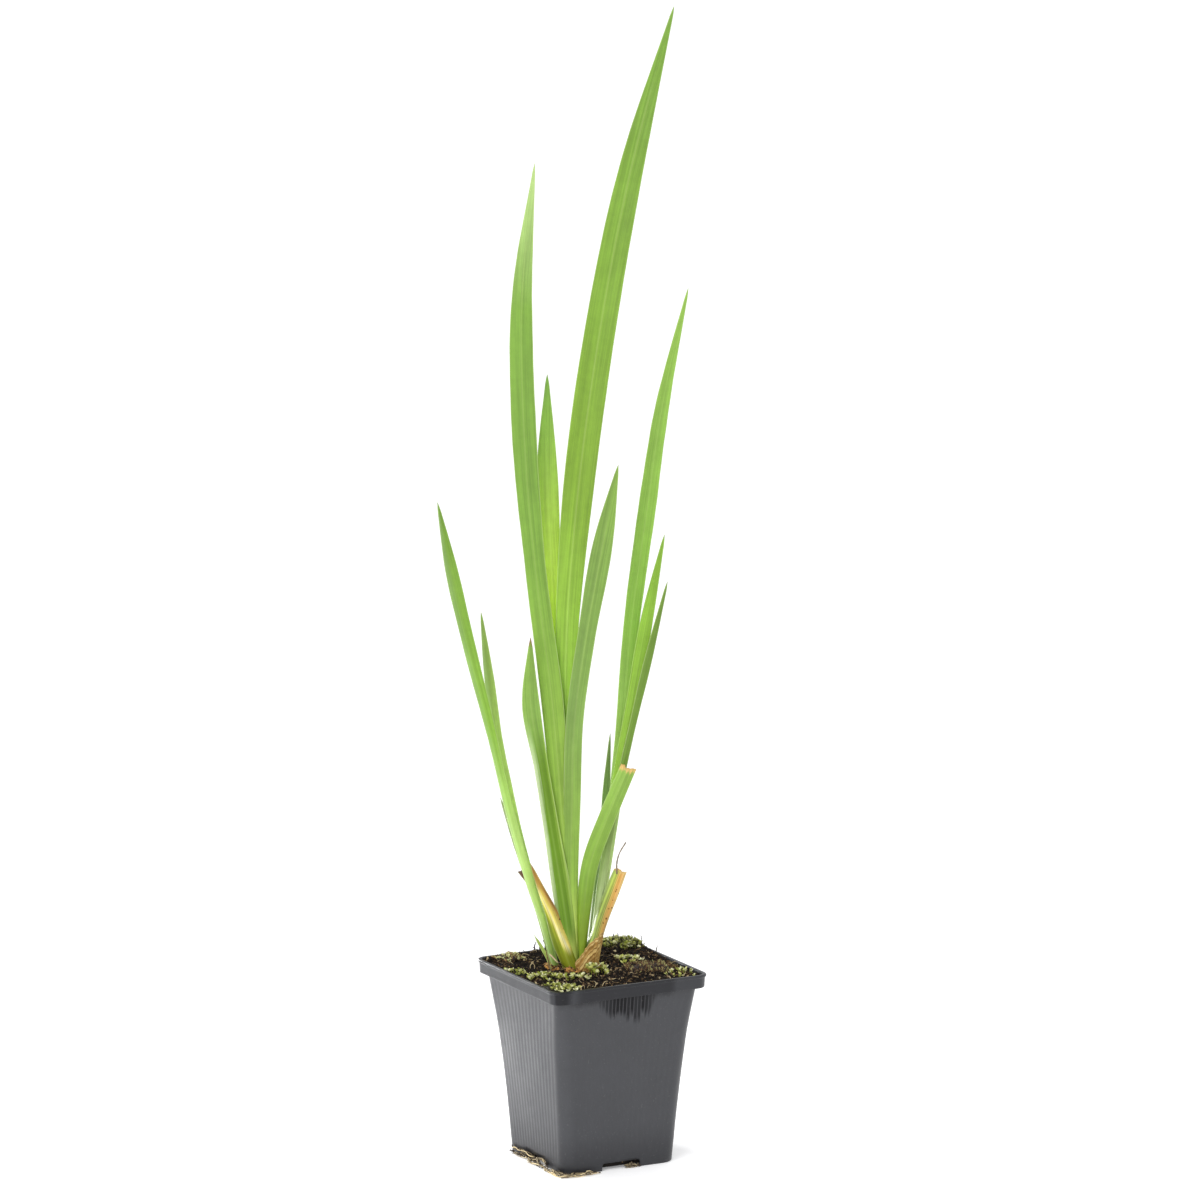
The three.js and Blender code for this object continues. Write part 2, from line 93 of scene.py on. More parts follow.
# A tube: circles of the given radii round a path, square to it, closed by a pole at each end.
def tube(path, radii, sides):
    tangent = np.gradient(path, axis=0)
    tangent /= np.linalg.norm(tangent, axis=1, keepdims=True)
    steep = abs(tangent[:, 2]).mean() >= 0.7
    helper = np.array([0.97, 0.2, 0.1] if steep else [0.13, 0.21, 0.97])  # never along the path
    across = np.cross(helper, tangent)
    across /= np.linalg.norm(across, axis=1, keepdims=True)
    behind = np.cross(tangent, across)
    angle = np.arange(sides) * 2 * math.pi / sides
    circle = across[:, None] * np.cos(angle)[:, None] + behind[:, None] * np.sin(angle)[:, None]
    rings = path[:, None] + np.asarray(radii)[:, None, None] * circle
    return ringsWithPoles(rings, path[0], path[-1])


# A smooth path through points: Catmull-Rom, sampled at even shares of its length.
def smoothPath(stops, count, perStop=40):
    stops = np.asarray(stops, float)
    padded = np.concatenate([[2 * stops[0] - stops[1]], stops, [2 * stops[-1] - stops[-2]]])
    t = np.linspace(0, len(stops) - 1, perStop * len(stops))
    k = np.minimum(t.astype(int), len(stops) - 2)
    u = (t - k)[:, None]
    p0, p1, p2, p3 = padded[k], padded[k + 1], padded[k + 2], padded[k + 3]
    dense = 0.5 * (2 * p1 + (p2 - p0) * u + (2 * p0 - 5 * p1 + 4 * p2 - p3) * u ** 2
                   + (3 * p1 - p0 - 3 * p2 + p3) * u ** 3)
    length = np.concatenate([[0], np.cumsum(np.linalg.norm(np.diff(dense, axis=0), axis=1))])
    even = np.linspace(0, length[-1], count)
    return np.stack([np.interp(even, length, dense[:, i]) for i in range(stops.shape[1])], -1)


# A value at shares 0 to 1: a cubic in each cell through evenly spaced values, its slopes those
# between the neighbours.
def along(values, share):
    values = np.asarray(values, float)
    last = len(values) - 1
    cell = np.minimum((share * last).astype(int), last - 1)
    stop = np.arange(last + 1)
    before, after = np.maximum(stop - 1, 0), np.minimum(stop + 1, last)
    slope = (values[after] - values[before]) / (after - before)
    u = share * last - cell
    return ((2 * u ** 3 - 3 * u ** 2 + 1) * values[cell] + (u ** 3 - 2 * u ** 2 + u) * slope[cell]
            + (3 * u ** 2 - 2 * u ** 3) * values[cell + 1] + (u ** 3 - u ** 2) * slope[cell + 1])


# A lobe: an ellipsoid from its lower pole up, its skin moved out by noise.
def lobe(centre, radii, rows, columns, rough, wavelength, seed):
    polar = np.linspace(-math.pi / 2, math.pi / 2, rows + 2)
    around = np.arange(columns) * 2 * math.pi / columns
    wide, high = np.cos(polar)[:, None], np.sin(polar)[:, None]
    ball = np.stack([wide * np.cos(around), wide * np.sin(around), np.repeat(high, columns, 1)], -1)
    bumps = rough * ripples(ball * np.asarray(radii), wavelength, seed)[..., None]
    skin = np.asarray(centre) + ball * radii * (1 + bumps)
    return ringsWithPoles(skin[1:-1], skin[0, 0], skin[-1, 0])


# Turned axes for many small shapes: x points out at a heading and a lift, z is the normal, and
# both others roll about x.
def axesFor(heading, lift, roll):
    ch, sh, cl, sl = np.cos(heading), np.sin(heading), np.cos(lift), np.sin(lift)
    out = np.stack([ch * cl, sh * cl, sl], -1)
    up = np.stack([-ch * sl, -sh * sl, cl], -1)
    side = np.cross(up, out)
    cr, sr = np.cos(roll)[:, None], np.sin(roll)[:, None]
    return np.stack([out, side * cr + up * sr, up * cr - side * sr], -1)


# Copies of a small shape: each turned by its axes, scaled and moved to its place.
def copies(shape, places, axes, sizes):
    points, faces = shape
    sizes = np.asarray(sizes).reshape(len(places), 1, -1)
    moved = places[:, None] + np.einsum("nij,nkj->nki", axes, points[None] * sizes)
    shift = np.arange(len(places))[:, None, None] * len(points)
    return moved.reshape(-1, 3), [(f[None] + shift).reshape(-1, f.shape[1]) for f in faces]


# Several shapes as one list of points and faces.
def joined(parts):
    points, faces, count = [], {3: [], 4: []}, 0
    for partPoints, partFaces in parts:
        points.append(partPoints)
        for f in partFaces:
            faces[f.shape[1]].append(f + count)
        count += len(partPoints)
    return np.concatenate(points), [np.concatenate(f) for f in faces.values() if f]


# A small leaf one long: an outline of sine waves, widest past its middle, cupped by the square of
# its place, with a point over and one under its middle.
def leafletShape(outlinePoints, width, cup, thickness):
    angle = np.arange(outlinePoints) * 2 * math.pi / outlinePoints
    x = 0.5 - 0.5 * np.cos(angle)
    y = width * 0.5 * np.sin(angle) * (0.55 + 0.6 * x)
    outline = np.stack([x, y, cup * (x ** 2 + 2 * y ** 2)], -1)
    middle = np.array([[0.55, 0, thickness], [0.55, 0, -thickness]]) + [0, 0, cup * 0.2]
    j = np.arange(outlinePoints)
    k = (j + 1) % outlinePoints
    top = np.stack([k, j, np.full(outlinePoints, outlinePoints)], -1)
    under = np.stack([j, k, np.full(outlinePoints, outlinePoints + 1)], -1)
    return np.concatenate([outline, middle]), [np.concatenate([top, under])]


# A crumb: an icosahedron with its corners pushed in and out, and its three sides stretched.
def crumbShape(seed):
    golden = (1 + math.sqrt(5)) / 2
    a = np.array([[-1, golden, 0], [1, golden, 0], [-1, -golden, 0], [1, -golden, 0]]) / math.hypot(1, golden)
    points = np.concatenate([a, a[:, [2, 0, 1]], a[:, [1, 2, 0]]])
    faces = np.array([
        [0, 11, 5], [0, 5, 1], [0, 1, 7], [0, 7, 10], [0, 10, 11], [1, 5, 9], [5, 11, 4], [11, 10, 2],
        [10, 7, 6], [7, 1, 8], [3, 9, 4], [3, 4, 2], [3, 2, 6], [3, 6, 8], [3, 8, 9], [4, 9, 5],
        [2, 4, 11], [6, 2, 10], [8, 6, 7], [9, 8, 1]])
    rng = np.random.default_rng(seed)
    return points * rng.uniform(0.65, 1.2, (12, 1)) * rng.uniform(0.7, 1.1, 3), [faces]


# A mesh piece from points in millimetres and faces; values are its own attributes. It rides on the
# body and replaces its nodes.
def makePiece(name, shape, material, nodes=(), values=None):
    points, faces = shape
    mesh = bpy.data.meshes.new(name)
    mesh.vertices.add(len(points))
    mesh.vertices.foreach_set("co", (points * mm).astype(np.float32).ravel())
    loops = np.concatenate([f.ravel() for f in faces]).astype(np.int32)
    sizes = np.concatenate([np.full(len(f), f.shape[1]) for f in faces])
    starts = np.concatenate([[0], np.cumsum(sizes)[:-1]]).astype(np.int32)
    mesh.loops.add(len(loops))
    mesh.loops.foreach_set("vertex_index", loops)
    mesh.polygons.add(len(sizes))
    mesh.polygons.foreach_set("loop_start", starts)
    mesh.polygons.foreach_set("use_smooth", np.full(len(sizes), True))
    for key, array in (values or {}).items():
        kind = "FLOAT_VECTOR" if array.ndim == 2 else "FLOAT"
        layer = mesh.attributes.new(key, kind, "POINT")
        layer.data.foreach_set("vector" if array.ndim == 2 else "value", array.astype(np.float32).ravel())
    mesh.update()
    mesh.validate()
    mesh.materials.append(material)
    piece = bpy.data.objects.new(name, mesh)
    bpy.context.scene.collection.objects.link(piece)
    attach(piece, "root")
    if nodes:
        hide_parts(*nodes)
    return piece


# ---- shader helpers ----

# A colour as screens give it, 0 to 255, made linear.
def colour(red, green, blue):
    def linear(c):
        c = c / 255
        return c / 12.92 if c <= 0.04045 else ((c + 0.055) / 1.055) ** 2.4

    return (linear(red), linear(green), linear(blue), 1)


# A node with its settings, and for each input a value or another node's socket.
def addNode(tree, kind, inputs=None, **settings):
    node = tree.nodes.new(kind)
    for key, value in settings.items():
        setattr(node, key, value)
    for key, value in (inputs or {}).items():
        if isinstance(value, bpy.types.NodeSocket):
            tree.links.new(value, node.inputs[key])
        else:
            node.inputs[key].default_value = value
    return node


def mathNode(tree, operation, a, b=0.5, clamp=False):
    return addNode(tree, "ShaderNodeMath", {0: a, 1: b}, operation=operation, use_clamp=clamp).outputs[0]


def plus(tree, a, b, clamp=False):
    return mathNode(tree, "ADD", a, b, clamp)


def minus(tree, a, b):
    return mathNode(tree, "SUBTRACT", a, b)


def times(tree, a, b):
    return mathNode(tree, "MULTIPLY", a, b)


def larger(tree, a, b):
    return mathNode(tree, "MAXIMUM", a, b)


def absolute(tree, a):
    return mathNode(tree, "ABSOLUTE", a)


def mixColours(tree, factor, a, b):
    return addNode(tree, "ShaderNodeMix", {0: factor, 6: a, 7: b}, data_type="RGBA").outputs[2]


# A value carried from low..high to toLow..toHigh, eased at both ends or in a straight line.
def mapRange(tree, value, low, high, toLow=0.0, toHigh=1.0, kind="SMOOTHSTEP"):
    return addNode(tree, "ShaderNodeMapRange", {0: value, 1: low, 2: high, 3: toLow, 4: toHigh},
                   interpolation_type=kind).outputs[0]


def noise(tree, vector, scale, detail=3.0, roughness=0.5):
    return addNode(tree, "ShaderNodeTexNoise", {"Vector": vector, "Scale": scale, "Detail": detail,
                                                "Roughness": roughness}).outputs[0]


def colourRamp(tree, value, stops):
    node = addNode(tree, "ShaderNodeValToRGB", {0: value})
    ends = node.color_ramp.elements
    ends[0].position, ends[0].color = stops[0][0], colour(*stops[0][1])
    ends[1].position, ends[1].color = stops[-1][0], colour(*stops[-1][1])
    for position, tone in stops[1:-1]:
        ends.new(position).color = colour(*tone)
    return node.outputs[0]


def newGroup(name, inputs, outputs):
    group = bpy.data.node_groups.new(name, "ShaderNodeTree")
    kinds = {"vector": "NodeSocketVector", "value": "NodeSocketFloat", "colour": "NodeSocketColor"}
    for key, kind, value in inputs:
        socket = group.interface.new_socket(name=key, in_out="INPUT", socket_type=kinds[kind])
        if value is not None:
            socket.default_value = value
    for key, kind in outputs:
        group.interface.new_socket(name=key, in_out="OUTPUT", socket_type=kinds[kind])
    return group, addNode(group, "NodeGroupInput").outputs, addNode(group, "NodeGroupOutput").inputs


def useGroup(tree, group, **inputs):
    return addNode(tree, "ShaderNodeGroup", inputs, node_tree=group).outputs


def objectPlace(tree):
    return addNode(tree, "ShaderNodeTexCoord").outputs["Object"]


def attribute(tree, name, output):
    return addNode(tree, "ShaderNodeAttribute", attribute_name=name).outputs[output]


def separate(tree, vector):
    return addNode(tree, "ShaderNodeSeparateXYZ", {0: vector}).outputs


def newMaterial(name):
    material = bpy.data.materials.new(name)
    material.use_nodes = True
    tree = material.node_tree
    return material, tree, tree.nodes["Principled BSDF"]


def bump(tree, height, strength, distance):
    return addNode(tree, "ShaderNodeBump", {"Height": height, "Strength": strength,
                                            "Distance": distance}).outputs[0]


# Light through a thin piece: a share of translucent colour mixed with its shader.
def shineThrough(tree, shader, share, tone):
    through = addNode(tree, "ShaderNodeBsdfTranslucent", {"Color": tone}).outputs[0]
    both = addNode(tree, "ShaderNodeMixShader", {0: share, 1: shader.outputs[0], 2: through}).outputs[0]
    tree.links.new(both, tree.nodes["Material Output"].inputs["Surface"])


# Streaks: noise drawn out along y of the vector; wide and fine streaks together, 0 to 1.
def makeStreaks():
    group, given, result = newGroup(
        "streaks", [("Vector", "vector", None), ("Fine", "value", 1.6), ("Wide", "value", 0.35)],
        [("Mask", "value"), ("Height", "value")])
    parts = separate(group, given["Vector"])

    def drawn(scale, length):
        x = times(group, parts[0], scale)
        y = times(group, parts[1], length)
        return addNode(group, "ShaderNodeCombineXYZ", {0: x, 1: y, 2: parts[2]}).outputs[0]

    fine = noise(group, drawn(given["Fine"], 0.012), 1.0, 2.0)
    wide = noise(group, drawn(given["Wide"], 0.02), 1.0, 2.0)
    mask = plus(group, times(group, fine, 0.55), times(group, wide, 0.45))
    group.links.new(mapRange(group, mask, 0.34, 0.66), result["Mask"])
    group.links.new(fine, result["Height"])
    return group


# Mottle: a colour made lighter and darker by noise of two sizes.
def makeMottle():
    group, given, result = newGroup(
        "mottle", [("Colour", "colour", (1, 1, 1, 1)), ("Vector", "vector", None), ("Scale", "value", 100.0),
                   ("Strength", "value", 0.3)], [("Colour", "colour"), ("Mask", "value")])
    coarse = noise(group, given["Vector"], given["Scale"], 3.0, 0.6)
    finer = noise(group, given["Vector"], times(group, given["Scale"], 5.3), 2.0, 0.6)
    both = plus(group, times(group, coarse, 0.6), times(group, finer, 0.4))
    spread = times(group, minus(group, both, 0.5), given["Strength"])
    value = plus(group, times(group, spread, 4.0), 1.0)
    shifted = addNode(group, "ShaderNodeHueSaturation", {"Color": given["Colour"], "Value": value}).outputs[0]
    group.links.new(shifted, result["Colour"])
    group.links.new(mapRange(group, both, 0.35, 0.65), result["Mask"])
    return group


# Specks: small round spots scattered by cells; amount is the share of cells that carry one.
def makeSpecks():
    group, given, result = newGroup(
        "specks", [("Vector", "vector", None), ("Scale", "value", 300.0), ("Amount", "value", 0.2),
                   ("Size", "value", 0.25)], [("Mask", "value")])
    cells = addNode(group, "ShaderNodeTexVoronoi",
                    {"Vector": given["Vector"], "Scale": given["Scale"]}).outputs
    lot = addNode(group, "ShaderNodeSeparateColor", {0: cells["Color"]}).outputs[0]
    chosen = mathNode(group, "LESS_THAN", lot, given["Amount"])
    spot = mapRange(group, cells["Distance"], given["Size"], times(group, given["Size"], 0.6))
    group.links.new(times(group, chosen, spot), result["Mask"])
    return group


streaks, mottle, specks = makeStreaks(), makeMottle(), makeSpecks()


# ---- leaves ----

# Stations run from foot to tip as x, y, z and width. turn twists the blade towards its tip, foot is its
# half thickness where it is a sheath, which thins over the sheath height, and fold is how sharply its
# halves meet at the midrib. cut is the half thickness of a blade that ends cut off, torn how ragged.
# A look is the colour of the foot, then of the blade low, high and at its tip. halfShading lightens or
# darkens it left and right of the midrib, painted light and shade for the halves' slant to the lamps; rib is
# how pale the midrib is, veins how strong the streaks, glow how much light comes through, and bloomAndSheen
# the whitish film on one side, partly the leaf's own waxy film and partly a painted highlight on its lit side.
# footReach is how far the foot's colour runs up, late is where the tip's begins, and tipStain browns the end.
# bands are colours across it, kept from one share of its length up to another, lean moves them over with
# height, and spots is the span of its length with dark specks.
leafLook = {
    "tallest": dict(foot=(190, 216, 96), low=(186, 234, 86), high=(134, 171, 57), tip=(130, 170, 70),
                    halfShading=(1.0, 0.96), rib=0.16),
    "second": dict(foot=(194, 220, 84), low=(150, 184, 70), high=(124, 163, 64), tip=(184, 210, 136),
                   halfShading=(1.06, 1.0), late=0.82),
    "young": dict(foot=(210, 238, 96), low=(190, 218, 98), high=(220, 244, 108), tip=(144, 190, 90),
                  halfShading=(1.0, 1.0), glow=0.42, late=0.58),
    "centre": dict(foot=(216, 232, 122), low=(147, 185, 70), high=(130, 164, 80), tip=(129, 164, 72),
                   halfShading=(0.92, 1.04)),
    "front": dict(foot=(204, 220, 108), low=(112, 152, 40), high=(134, 171, 80), tip=(134, 170, 76),
                  halfShading=(1.08, 0.99), tipStain=(140, 84, 50), footReach=26,
                  bandsFrom=0.05, bandsUpTo=0.78, lean=-0.35,
                  bands=[(0.0, (200, 216, 172)), (0.2, (172, 194, 136)), (0.3, (106, 144, 30)),
                         (0.8, (104, 142, 26)), (0.92, (140, 174, 64)), (1.0, (160, 190, 90))]),
    "rightTall": dict(foot=(214, 228, 176), low=(176, 208, 112), high=(138, 182, 72), tip=(148, 186, 84),
                      halfShading=(0.96, 1.04), footReach=100),
    "rightFront": dict(foot=(214, 226, 190), low=(176, 218, 84), high=(158, 200, 70), tip=(138, 180, 60),
                       halfShading=(1.0, 0.98), glow=0.36, footReach=90),
    "rightNarrow": dict(foot=(206, 220, 168), low=(178, 212, 108), high=(116, 150, 56), tip=(108, 140, 54),
                        halfShading=(1.0, 0.94), footReach=90),
    "rightSmall": dict(foot=(212, 222, 190), low=(176, 200, 146), high=(118, 154, 80), tip=(116, 142, 80),
                       halfShading=(1.0, 0.95)),
    "cut": dict(foot=(144, 170, 46), low=(118, 156, 42), high=(138, 175, 68), tip=(150, 188, 84),
                halfShading=(1.04, 0.94), tipStain=(226, 190, 118)),
    "left": dict(foot=(176, 208, 112), low=(212, 242, 146), high=(144, 186, 70), tip=(122, 160, 62),
                 halfShading=(1.0, 1.0), bloomAndSheen=-0.16, footReach=85),
    "leftInner": dict(foot=(176, 208, 112), low=(212, 242, 146), high=(190, 220, 120), tip=(136, 168, 78),
                      halfShading=(1.0, 1.0), bloomAndSheen=-0.16, footReach=85),
    "leftSmall": dict(foot=(176, 200, 120), low=(158, 184, 126), high=(160, 186, 132), tip=(146, 156, 118),
                      halfShading=(1.0, 1.0)),
    "sprout": dict(foot=(176, 196, 96), low=(150, 172, 96), high=(140, 162, 98), tip=(112, 120, 84),
                   halfShading=(0.9, 1.1)),
    "withered": dict(foot=(150, 120, 70), low=(150, 112, 72), high=(128, 94, 68), tip=(108, 76, 60),
                     halfShading=(1.0, 0.9)),
    # The palest of the yellow sheath's bands, from 0.28 to 0.48 across, are a painted highlight on its own
    # yellow.
    "yellow": dict(foot=(144, 154, 34), low=(160, 166, 40), high=(214, 178, 80), tip=(158, 112, 48),
                   halfShading=(1.0, 1.0), veins=0.36, bandsFrom=0.1, bandsUpTo=0.86, lean=1.0, spots=(0.3, 0.9),
                   bands=[(0.0, (134, 152, 32)), (0.18, (170, 178, 40)), (0.28, (250, 236, 140)),
                          (0.38, (255, 248, 190)), (0.48, (255, 236, 132)), (0.6, (224, 208, 96)),
                          (0.76, (208, 178, 88)), (0.9, (180, 136, 62)), (1.0, (150, 104, 44))]),
    "brown": dict(foot=(186, 176, 80), low=(206, 168, 96), high=(206, 168, 96), tip=(206, 160, 90),
                  halfShading=(1.0, 1.0), veins=0.6, bandsFrom=0.0, lean=0.3, tipStain=(222, 190, 120),
                  spots=(0.0, 0.8),
                  bands=[(0.0, (196, 220, 132)), (0.3, (178, 200, 92)), (0.52, (184, 196, 86)),
                         (0.62, (212, 182, 96)), (0.84, (200, 152, 78)), (1.0, (214, 178, 112))]),
}
blades = {
    "leaf_young": dict(
        stations=[[-9.5, 2, 100, 2.6], [-12, 3, 151, 4.8], [-14.5, 4, 202, 6], [-17.5, 4.5, 253, 7.7],
                  [-20, 4.5, 303.5, 8.9], [-22.5, 6, 354.5, 10.8], [-22.5, 7.5, 406, 1.2]],
        turn=10, foot=0.9, sheath=90, look="young", slot="leaf_young_green"),
    "leaf_tallest": dict(
        stations=[[-9.5, 1.5, 100, 3.8], [-12, 2, 182, 8.3], [-13, 2, 263.5, 11.2],
                  [-7, 2.5, 345.5, 15.7], [4, 5, 427.5, 15.7], [19.5, 8.5, 509, 12.3],
                  [41.5, 13.5, 592.5, 1]],
        turn=6, foot=1.5, sheath=90, look="tallest", fold=0.12, slot="leaf_green"),
    "leaf_second": dict(
        stations=[[-9, 1, 100, 4.7], [-14.5, -0.5, 169.5, 9.1], [-20, -1, 238.5, 11.4],
                  [-28.5, -1.5, 308, 10.7], [-34, -3.5, 377, 12.7], [-35, -7, 446.5, 10.6],
                  [-28.5, -13.5, 516.5, 0.8]],
        turn=-14, foot=2.1, sheath=90, look="second", fold=0.06, slot="leaf_grey_green"),
    "leaf_centre_right": dict(
        stations=[[-8.5, 1, 100, 4.3], [-10.5, -0.5, 143.5, 7.2], [-10, -2, 187, 8.8],
                  [-8.5, -3.5, 230.5, 8.9], [-2.5, -4.5, 274, 9.3], [5, -6, 317.5, 10.4],
                  [13.5, -9.5, 362.5, 1]],
        turn=-10, foot=2.9, sheath=80, look="centre", fold=-0.06, slot="leaf_green"),
    "leaf_front": dict(
        stations=[[-9.5, 0.5, 100.5, 6.6], [-14.5, -1.5, 135, 9.7], [-20, -3, 169.5, 8.1],
                  [-25.5, -4.5, 204, 7.4], [-31, -6.5, 238.5, 9], [-31, -9.5, 273.5, 1]],
        turn=10, foot=4, sheath=70, look="front", fold=0.08, slot="leaf_green"),
    "leaf_right_tall": dict(
        stations=[[0.3, 8.5, 100.5, 3.6], [8.5, 7.5, 159.5, 5.6], [15.5, 7.5, 217, 7.7],
                  [20, 8.5, 274.5, 8.2], [27.5, 11, 332, 9.3], [36, 15.5, 389.5, 7.2], [49, 21, 448, 1]],
        turn=18, foot=1.4, sheath=70, look="rightTall", fold=0.08, slot="leaf_grey_green"),
    "leaf_right_front": dict(
        stations=[[0.3, 7, 100.5, 3.5], [6, 6, 147, 4.1], [12.5, 5, 191.5, 5.7], [20.5, 3.5, 236, 6.5],
                  [28, 2, 280, 6.5], [37, -0.5, 325, 1]],
        turn=-12, foot=2, sheath=70, look="rightFront", slot="leaf_grey_green"),
    "leaf_right_narrow": dict(
        stations=[[-0.2, 6, 100.5, 3.1], [5, 4.2, 142.5, 4.4], [11.5, 2.4, 182, 4.3], [20, 0.5, 222, 3.6],
                  [29, -2, 261.5, 4.1], [38.5, -4.5, 301.5, 1]],
        turn=6, foot=2.4, sheath=60, look="rightNarrow", slot="leaf_grey_green"),
    "leaf_right_small": dict(
        stations=[[-2.3, 8.5, 100.5, 1.9], [1.5, 10, 132.5, 2.1], [5, 11.5, 161, 2.6], [7.5, 13, 189.5, 3.9],
                  [9.5, 14, 219, 0.8]],
        turn=20, foot=1.2, sheath=40, look="rightSmall", slot="leaf_grey_green"),
    "leaf_cut": dict(
        stations=[[-5.2, 0.5, 101, 3.2], [-4, -0.5, 129.5, 7.1], [-0.5, -2, 155, 8.7], [8.6, -4, 180.5, 8.8],
                  [19, -6.5, 206, 8.2]],
        turn=-8, foot=3.4, sheath=60, cut=0.8, torn=1.3, look="cut", fold=0.05, slot="leaf_green"),
    "leaf_left_inner": dict(
        stations=[[-19, 8, 100.5, 3.1], [-24.2, 8.2, 120, 3.8], [-29.8, 8.5, 138, 4.7],
                  [-39.5, 8.5, 174, 5.8], [-47, 9, 210, 5.3], [-52, 11, 245.5, 5], [-56.5, 14.5, 282, 1]],
        turn=-16, foot=1.4, sheath=60, look="leftInner", slot="leaf_green"),
    "leaf_left_outer": dict(
        stations=[[-19.5, 6.5, 100.5, 3], [-24.9, 5.8, 122, 4.2], [-31.6, 5, 142.5, 4.6],
                  [-42.5, 3.5, 182.5, 4.4], [-51.4, 1.5, 222.5, 5.7], [-61, -1, 262, 6.6],
                  [-70, -4, 302, 6.4], [-78, -8.5, 343, 1]],
        turn=16, foot=2.2, sheath=60, look="left", slot="leaf_green"),
    "leaf_left_small": dict(
        stations=[[-21, 8.5, 100.5, 1.5], [-27.4, 8.6, 124.5, 1.8], [-33.6, 7.6, 145, 2.2],
                  [-40.2, 7, 166, 2.4],
                  [-46.8, 6.6, 187, 0.8]],
        turn=15, foot=0.8, sheath=40, look="leftSmall", slot="leaf_grey_green"),
    "sheath_withered": dict(
        stations=[[-20.6, 10.5, 100.5, 1.8], [-25.4, 12, 118, 1.6], [-29.4, 12.5, 133, 1.8],
                  [-32.6, 12.4, 141, 2.2], [-37.2, 12, 148, 3]],
        turn=0, foot=0.8, sheath=30, cut=0.4, torn=2.2, look="withered", slot="sheath_brown"),
    "sheath_left": dict(
        stations=[[-10.5, 0, 100, 8.8], [-15.5, -1.5, 113.5, 9.7], [-20.2, -2.8, 127.5, 6.9],
                  [-25.8, -3.6, 141, 3.7], [-31.5, -4, 155, 0.9]],
        turn=8, foot=5.2, sheath=40, look="yellow", slot="sheath_yellow"),
    "sheath_right": dict(
        stations=[[-2.5, 2, 99.5, 11.6], [1.5, 2.5, 112, 7], [5.5, 2.4, 125, 6.8], [10, 2, 137.5, 7.4],
                  [15, 1.6, 150.5, 6.7]],
        turn=-10, foot=6, sheath=45, cut=0.5, torn=1.5, look="brown", slot="sheath_brown"),
    "leaf_sprout": dict(
        stations=[[-21, -3.5, 99, 1.2], [-22.5, -3.5, 104.5, 1.7], [-25.6, -3.5, 110.4, 1.7],
                  [-29.7, -3.5, 117.3, 0.6]],
        turn=20, foot=0.7, sheath=12, look="sprout", slot="leaf_young_green"),
}
# The section: margin, half and cut are half thicknesses, sink is how far a foot goes down into the
# crown, boxy the power of a sheath's section. detail is where up a leaf its midrib, waves and fold
# begin, broad the half width at which they are full.
section = dict(margin=0.12, half=0.7, tipThinning=0.6, sink=6.0, boxy=4.5, tipHalfWidth=0.3, tipLength=4.0,
               tipStart=0.12, midrib=0.16, midribWidth=0.55, ribs=0.035, ribSpacing=1.5, detail=(25, 80),
               detailEnd=0.12, broad=4, wave=0.25, waveLength=46, secondWave=0.6, secondLength=0.37,
               crease=0.3,
               rowLength=2.6, fewestRows=24, strandWidths=(4.5, 1.4), tearLength=4)


